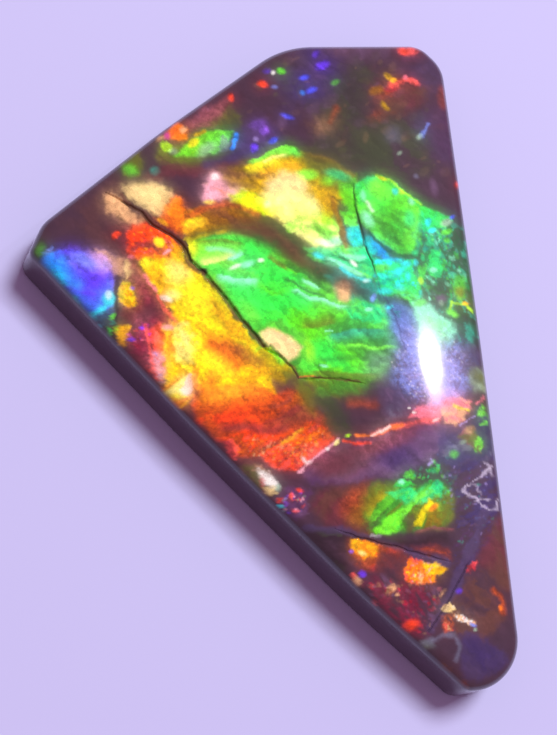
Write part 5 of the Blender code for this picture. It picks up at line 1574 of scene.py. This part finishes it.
@dataclass(frozen=True)
class ShellFinish:
    """Finish of the whole stone: clear polish over iridescent shell on top, lapped dark shale below."""

    roughness: float = 0.32
    lapped_roughness: float = 0.62
    coat_roughness: float = 0.085
    inner_shine: float = 0.2
    grain_size: float = 0.05
    grain_light: float = 0.8
    flake_size: float = 0.22
    flake_light: float = 0.3
    bump_strength: float = 0.25
    bump_height: float = 0.01
    crack_shade: float = 0.35
    crack_colour: tuple[float, float, float] = (0.06, 0.035, 0.028)

    def material(self) -> bpy.types.Material:
        """Builds the finish's material."""
        material = bpy.data.materials.new("ammolite")
        material.use_nodes = True
        material.node_tree.nodes.clear()
        tree = Tree(material.node_tree)
        place = tree.node("ShaderNodeTexCoord", output="Object")
        painted = tree.node("ShaderNodeAttribute", output="Color", attribute_name="shell_colour")
        polish, glow, crack = (tree.node("ShaderNodeAttribute", output="Fac", attribute_name=name)
                               for name in ("polish", "glow", "fracture"))
        grain = tree.node("ShaderNodeTexNoise", {"Vector": place, "Scale": 1.0 / (self.grain_size * MM),
                                                 "Detail": 3.0, "Roughness": 0.6})
        flakes = tree.node("ShaderNodeTexVoronoi", {"Vector": place, "Scale": 1.0 / (self.flake_size * MM)},
                           "Color")
        flake = tree.node("ShaderNodeSeparateColor", {"Color": flakes})
        light = (grain - 0.5) * self.grain_light * glow + (flake - 0.5) * self.flake_light * glow + 1.0
        lights = tree.node("ShaderNodeCombineColor", {0: light, 1: light, 2: light})
        lit = tree.mix(1.0, painted, lights, "MULTIPLY")
        dark = tree.mix(crack.step(0.3, 1.0) * self.crack_shade, lit, (*self.crack_colour, 1.0))
        bump = tree.node("ShaderNodeBump", {"Height": grain, "Strength": self.bump_strength,
                                            "Distance": self.bump_height * MM})
        shader = tree.node("ShaderNodeBsdfPrincipled", {
            "Base Color": dark,
            "Specular IOR Level": self.inner_shine,
            "Roughness": (1.0 - polish) * (self.lapped_roughness - self.roughness) + self.roughness,
            "Coat Weight": polish * (1.0 - crack),
            "Coat Roughness": self.coat_roughness,
            "Normal": bump,
        })
        tree.node("ShaderNodeOutputMaterial", {"Surface": shader})
        return material


@dataclass
class Stone:
    """The polished freeform: its mesh, its cracks and its painted shell."""

    outline: Outline = field(default_factory=Outline)
    spacing: float = 0.072
    shoulder: float = 0.60
    lean: float = 0.15
    chamfer: float = 0.20
    shoulder_steps: int = 9
    wall_steps: int = 14
    back_spacing: float = 0.9
    clearance: float = 0.045
    exposure: float = 0.80
    shine: float = 0.22
    crack_gap: float = 0.022
    crack_shape: float = 0.8
    line_share: float = 0.7
    rim_margin: float = 0.02
    bare_contrast: float = 0.25

    def __post_init__(self) -> None:
        """Prepares the crown's rule, the sight line and the cracks."""
        self.crown = Crown(self.outline)
        self.centre = self.outline.middle()
        self.sight = Sightline(self.centre)
        self.noise = Noise(SEED)
        self.fractures = Fractures(self.noise)

    def profile(self) -> list[Pair]:
        """Inset and height of each ring from the flat back up to the rim."""
        low = self.crown.rim - self.shoulder
        rings = [(self.chamfer, 0.0), (self.chamfer * 0.5, self.chamfer * 0.5)]
        for step in range(self.wall_steps):
            share = step / self.wall_steps
            rings.append((self.lean * share, self.chamfer + (low - self.chamfer) * share))
        for step in range(self.shoulder_steps + 1):
            angle = math.pi / 2.0 * step / self.shoulder_steps
            rings.append((self.lean + self.shoulder * (1.0 - math.cos(angle)),
                          low + self.shoulder * math.sin(angle)))
        return rings

    @staticmethod
    def bounded(loop: np.ndarray, points: np.ndarray, margin: float) -> np.ndarray:
        """The points that lie inside a rounded convex loop by more than a margin."""
        along = np.roll(loop, -1, axis=0) - loop
        length = np.linalg.norm(along, axis=1)
        kept = length > TINY
        starts, along = loop[kept], along[kept] / length[kept][:, None]
        inward = np.stack((along[:, 1], -along[:, 0]), axis=1)
        offsets = (starts * inward).sum(axis=1) + margin
        chunks = [chunk[(chunk @ inward.T > offsets).all(axis=1)] for chunk in np.array_split(points, 40)]
        return np.vstack(chunks)

    def lattice(self, loop: np.ndarray, spacing: float) -> np.ndarray:
        """Evenly spaced points inside a loop, in staggered rows."""
        low, high = loop.min(axis=0), loop.max(axis=0)
        found = []
        for number, y in enumerate(np.arange(low[1], high[1], spacing * math.sqrt(0.75))):
            xs = np.arange(low[0] + (number % 2) * spacing / 2.0, high[0], spacing)
            found.append(np.stack((xs, np.full(len(xs), y)), axis=1))
        return self.bounded(loop, np.vstack(found), spacing * 0.5)

    @staticmethod
    def thinned(points: np.ndarray, gap: float) -> np.ndarray:
        """Points with those dropped that share a small square with an earlier one."""
        keys = np.floor(points / gap).astype(int)
        _, first = np.unique(keys, axis=0, return_index=True)
        return points[np.sort(first)]

    def top_points(self, loop: np.ndarray) -> np.ndarray:
        """Points of the polished top: close along the cracks and even elsewhere."""
        even = self.lattice(loop, self.spacing)
        free = np.ones(len(even), dtype=bool)
        for line in self.fractures.lines:
            route = self.fractures.route(line)
            reach = line.width / 2.0 * self.fractures.lanes[-1] + self.spacing * 0.5
            low, high = route.min(axis=0) - reach, route.max(axis=0) + reach
            box = np.flatnonzero(((even > low) & (even < high)).all(axis=1))
            free[box[Painting.nearest(even[box], route)[0] < reach]] = False
        close = self.bounded(loop, self.fractures.mesh_points(), self.clearance)
        return np.vstack((self.thinned(close, self.crack_gap), even[free]))

    def mesh(self) -> bpy.types.Mesh:
        """The closed mesh before its cracks are sunk."""
        rings = [(self.outline.loop(inset), height) for inset, height in self.profile()]
        count = len(rings[0][0])
        verts = [np.column_stack((loop, np.full(count, height))) for loop, height in rings]
        faces = []
        for ring in range(len(rings) - 1):
            for index in range(count):
                after = (index + 1) % count
                low, high = ring * count, (ring + 1) * count
                faces.append((low + after, low + index, high + index, high + after))
        total = count * len(rings)
        rim = rings[-1][0]
        inner = self.top_points(rim)
        verts.append(np.column_stack((inner, self.crown.height(inner))))
        top_numbers = list(range(total - count, total)) + list(range(total, total + len(inner)))
        faces += self.filled(np.vstack((rim, inner)), top_numbers, up=True)
        total += len(inner)
        under = self.lattice(rings[0][0], self.back_spacing)
        verts.append(np.column_stack((under, np.zeros(len(under)))))
        back_numbers = list(range(count)) + list(range(total, total + len(under)))
        faces += self.filled(np.vstack((rings[0][0], under)), back_numbers, up=False)
        places = np.vstack(verts)
        self.plan = places.copy()
        places[:, :2] -= self.centre
        mesh = bpy.data.meshes.new("ammolite_freeform")
        mesh.from_pydata((places * MM).tolist(), [], faces)
        mesh.validate()
        mesh.shade_smooth()
        return mesh

    @staticmethod
    def filled(points: np.ndarray, numbers: list[int], up: bool) -> list[tuple[int, ...]]:
        """Triangles over plan points.

        Args:
            points: the plan points.
            numbers: each point's number in the whole mesh.
            up: whether the triangles face up.

        Returns:
            The triangles by the mesh's numbers.
        """
        flat = [Vector(point) for point in points.tolist()]
        _, _, triangles, origins, _, _ = delaunay_2d_cdt(flat, [], [], 0, 1e-6)
        made = []
        for a, b, c in triangles:
            a, b, c = origins[a][0], origins[b][0], origins[c][0]
            area = np.cross(points[b] - points[a], points[c] - points[a])
            if abs(area) < TINY:
                continue
            if (area > 0) != up:
                b, c = c, b
            made.append((numbers[a], numbers[b], numbers[c]))
        return made

    def sink(self, stone: bpy.types.Object) -> bpy.types.Object:
        """Sinks the cracks into the top with Geometry Nodes, and bakes the result to a plain mesh."""
        curves = self.fractures.curves(self.centre)
        group = bpy.data.node_groups.new("fractures", "GeometryNodeTree")
        tree = Tree(group)
        identifiers = {}
        for name, kind in (("Geometry", "Geometry"), ("Fracture Lines", "Object"), ("Line Step", "Float"),
                           ("Lowest Surface", "Float"), ("Finish", "Material")):
            socket = group.interface.new_socket(name, in_out="INPUT", socket_type="NodeSocket" + kind)
            identifiers[name] = socket.identifier
        group.interface.new_socket("Geometry", in_out="OUTPUT", socket_type="NodeSocketGeometry")
        given = tree.node("NodeGroupInput").socket.node
        entry = {name: Wire(tree, given.outputs[name]) for name in identifiers}
        info = tree.node("GeometryNodeObjectInfo", {"Object": entry["Fracture Lines"]}, "Geometry",
                         transform_space="RELATIVE")
        dense = tree.node("GeometryNodeResampleCurve", {"Curve": info, "Length": entry["Line Step"]},
                          mode="LENGTH")
        here = tree.node("GeometryNodeInputPosition")
        flat = tree.node("ShaderNodeVectorMath", {0: here, 1: (1.0, 1.0, 0.0)}, operation="MULTIPLY")
        dots = tree.node("GeometryNodeCurveToPoints", {"Curve": dense}, mode="EVALUATED")
        nearest = tree.node("GeometryNodeSampleNearest", {"Geometry": dots, "Sample Position": flat},
                            domain="POINT")
        spot, half, deep = (
            tree.node("GeometryNodeSampleIndex", {"Geometry": dense, "Value": value, "Index": nearest},
                      data_type=kind, domain="POINT")
            for value, kind in ((here, "FLOAT_VECTOR"), (tree.node("GeometryNodeInputRadius"), "FLOAT"),
                                (tree.node("GeometryNodeInputCurveTilt"), "FLOAT"))
        )
        apart = tree.node("ShaderNodeVectorMath", {0: flat, 1: spot}, "Value", operation="DISTANCE")
        height = tree.node("ShaderNodeSeparateXYZ", {"Vector": here}, "Z")
        on_top = height.math("GREATER_THAN", entry["Lowest Surface"])
        share = (1.0 - apart / half).clamped() ** self.crack_shape * on_top
        drop = tree.node("ShaderNodeCombineXYZ", {"Z": share * deep * -1.0})
        moved = tree.node("GeometryNodeSetPosition", {"Geometry": entry["Geometry"], "Offset": drop})
        stored = {"Geometry": moved, "Name": "fracture", "Value": share}
        marked = tree.node("GeometryNodeStoreNamedAttribute", stored, data_type="FLOAT", domain="POINT")
        real = tree.node("GeometryNodeRealizeInstances", {"Geometry": marked})
        dressed = tree.node("GeometryNodeSetMaterial", {"Geometry": real, "Material": entry["Finish"]})
        tree.node("NodeGroupOutput", {0: dressed})
        modifier = stone.modifiers.new("fractures", "NODES")
        modifier.node_group = group
        for name, value in (("Fracture Lines", curves), ("Finish", stone.data.materials[0]),
                            ("Line Step", self.fractures.spacing * MM * self.line_share),
                            ("Lowest Surface", (self.crown.rim - self.rim_margin) * MM)):
            modifier[identifiers[name]] = value
        evaluated = stone.evaluated_get(bpy.context.evaluated_depsgraph_get())
        baked = bpy.data.meshes.new_from_object(evaluated)
        stone.modifiers.clear()
        stone.data = baked
        baked.name = "ammolite_freeform"
        bpy.data.objects.remove(curves, do_unlink=True)
        return stone

    def paint(self, mesh: bpy.types.Mesh) -> None:
        """Stores the shell's colour, glow and polish on the mesh's points."""
        plan = self.plan
        painting = Painting(self.sight.reading(plan[:, :2], plan[:, 2]))
        painting.complete()
        rim = self.crown.rim
        upper = rise(plan[:, 2], rim - self.shoulder * 0.75, rim - self.shoulder * 0.15)
        mottle = self.noise.rough(plan[:, :2] + plan[:, 2:] * 3.0, 0.5)
        bare = Tint.SHALE.linear() * (1.0 + self.bare_contrast * mottle)[:, None]
        brightness = painting.colour.max(axis=1)
        exposure = self.exposure * (1.0 + self.shine * rise(brightness, 0.1, 0.7))[:, None]
        colour = (bare * (1.0 - upper[:, None]) + painting.colour * upper[:, None]) * exposure
        self.store(mesh, "glow", rise(brightness, 0.02, 0.35) * upper)
        self.store(mesh, "polish", rise(plan[:, 2], 0.15, 0.3))
        attribute = mesh.color_attributes.new("shell_colour", "FLOAT_COLOR", "POINT")
        attribute.data.foreach_set("color", np.column_stack((colour, np.ones(len(colour)))).ravel())

    @staticmethod
    def store(mesh: bpy.types.Mesh, name: str, values: np.ndarray) -> None:
        """Stores one number for each point of the mesh under a name."""
        attribute = mesh.attributes.new(name, "FLOAT", "POINT")
        attribute.data.foreach_set("value", values.astype(np.float32))

    def build(self) -> bpy.types.Object:
        """Makes the stone, dresses it and hands it to the frame."""
        mesh = self.mesh()
        mesh.materials.append(ShellFinish().material())
        self.paint(mesh)
        stone = bpy.data.objects.new("ammolite_freeform", mesh)
        bpy.context.scene.collection.objects.link(stone)
        stone = self.sink(stone)
        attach(stone, "root")
        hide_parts("ammolite_stone")
        return stone


@dataclass
class Studio:
    """Plain pale floor and soft light."""

    stone: Stone
    floor_size: float = 0.6
    floor_share: tuple[float, float, float] = (0.463, 0.438, 0.690)
    floor_roughness: float = 0.9
    floor_shine: float = 0.1
    sky_tint: tuple[float, float, float] = (1.0, 0.60, 0.80)
    sky_strength: float = 0.41
    key_azimuth: float = math.radians(46.0)
    key_lean: float = math.radians(31.0)
    key_size: float = 0.155
    key_tint: tuple[float, float, float] = (0.94, 1.0, 0.99)
    key_distance: float = 0.40
    key_power: float = 1.9
    glint_place: Pair = (6.6, 0.3)
    glint_size: float = 0.017
    glint_narrow: float = 0.6
    glint_turn: float = math.radians(70.0)
    glint_distance: float = 0.30
    glint_power: float = 0.075
    glint_tint: tuple[float, float, float] = (0.92, 0.93, 1.0)
    slope_step: float = 0.05

    def floor(self) -> bpy.types.Object:
        """The plain floor."""
        half = self.floor_size / 2.0
        mesh = bpy.data.meshes.new("floor")
        corners = [(-half, -half, 0.0), (half, -half, 0.0), (half, half, 0.0), (-half, half, 0.0)]
        mesh.from_pydata(corners, [], [(0, 1, 2, 3)])
        material = bpy.data.materials.new("floor")
        material.use_nodes = True
        shader = material.node_tree.nodes["Principled BSDF"]
        shader.inputs["Base Color"].default_value = (*self.floor_share, 1.0)
        shader.inputs["Roughness"].default_value = self.floor_roughness
        shader.inputs["Specular IOR Level"].default_value = self.floor_shine
        mesh.materials.append(material)
        floor = bpy.data.objects.new("floor", mesh)
        bpy.context.scene.collection.objects.link(floor)
        return floor

    @staticmethod
    def lamp(name: str, towards: Vector, target: Vector, distance: float, size: float, power: float,
             colour: tuple[float, float, float]) -> bpy.types.Object:
        """Adds a round lamp.

        Args:
            name: the lamp's name.
            towards: direction from the target to the lamp.
            target: what the lamp faces.
            distance: how far the lamp is from the target.
            size: the lamp's diameter.
            power: its power in watts.
            colour: its colour.

        Returns:
            The lamp.
        """
        data = bpy.data.lights.new(name, "AREA")
        data.shape = "DISK"
        data.size = size
        data.energy = power
        data.color = colour
        lamp = bpy.data.objects.new(name, data)
        towards = towards.normalized()
        facing = towards.to_track_quat("Z", "Y").to_matrix().to_4x4()
        lamp.matrix_world = Matrix.Translation(target + towards * distance) @ facing
        bpy.context.scene.collection.objects.link(lamp)
        return lamp

    def glint_direction(self) -> tuple[Vector, Vector]:
        """The glint's spot on the crown, and the direction that the camera sees reflected there."""
        step = self.slope_step
        beside = np.array(self.glint_place) + ((0.0, 0.0), (step, 0.0), (0.0, step))
        height, height_x, height_y = (float(value) for value in self.stone.crown.height(beside))
        normal = Vector(((height - height_x) / step, (height - height_y) / step, 1.0)).normalized()
        spot = Vector((*self.glint_place, height))
        view = (self.stone.sight.eye() - spot).normalized()
        mirrored = 2.0 * normal.dot(view) * normal - view
        target = (spot - Vector((*self.stone.centre, 0.0))) * MM
        return target, mirrored

    def lights(self) -> None:
        """The sky, the soft key and the small lamp that the polish mirrors."""
        world = bpy.data.worlds.new("studio")
        world.use_nodes = True
        background = world.node_tree.nodes["Background"]
        background.inputs["Color"].default_value = (*self.sky_tint, 1.0)
        background.inputs["Strength"].default_value = self.sky_strength
        bpy.context.scene.world = world
        towards = direction(self.key_azimuth, self.key_lean)
        key = self.lamp("key", towards, Vector(), self.key_distance, self.key_size, self.key_power,
                        self.key_tint)
        key.visible_glossy = False
        target, mirrored = self.glint_direction()
        glint = self.lamp("glint", mirrored, target, self.glint_distance, self.glint_size, self.glint_power,
                          self.glint_tint)
        glint.data.shape = "ELLIPSE"
        glint.data.size_y = self.glint_size * self.glint_narrow
        glint.matrix_world = glint.matrix_world @ Matrix.Rotation(self.glint_turn, 4, "Z")
        bpy.context.scene.view_settings.view_transform = "Standard"


def main() -> None:
    """Builds the stone, the floor, the lights and the camera."""
    logging.basicConfig(level=logging.INFO, format="%(message)s")
    stone = Stone()
    made = stone.build()
    LOG.info("stone: %d points, %d faces", len(made.data.vertices), len(made.data.polygons))
    studio = Studio(stone)
    studio.floor()
    studio.lights()
    LOG.info("floor and lights are up")
    stone.sight.camera()
    LOG.info("camera is in place")


if __name__ == "__main__":
    main()
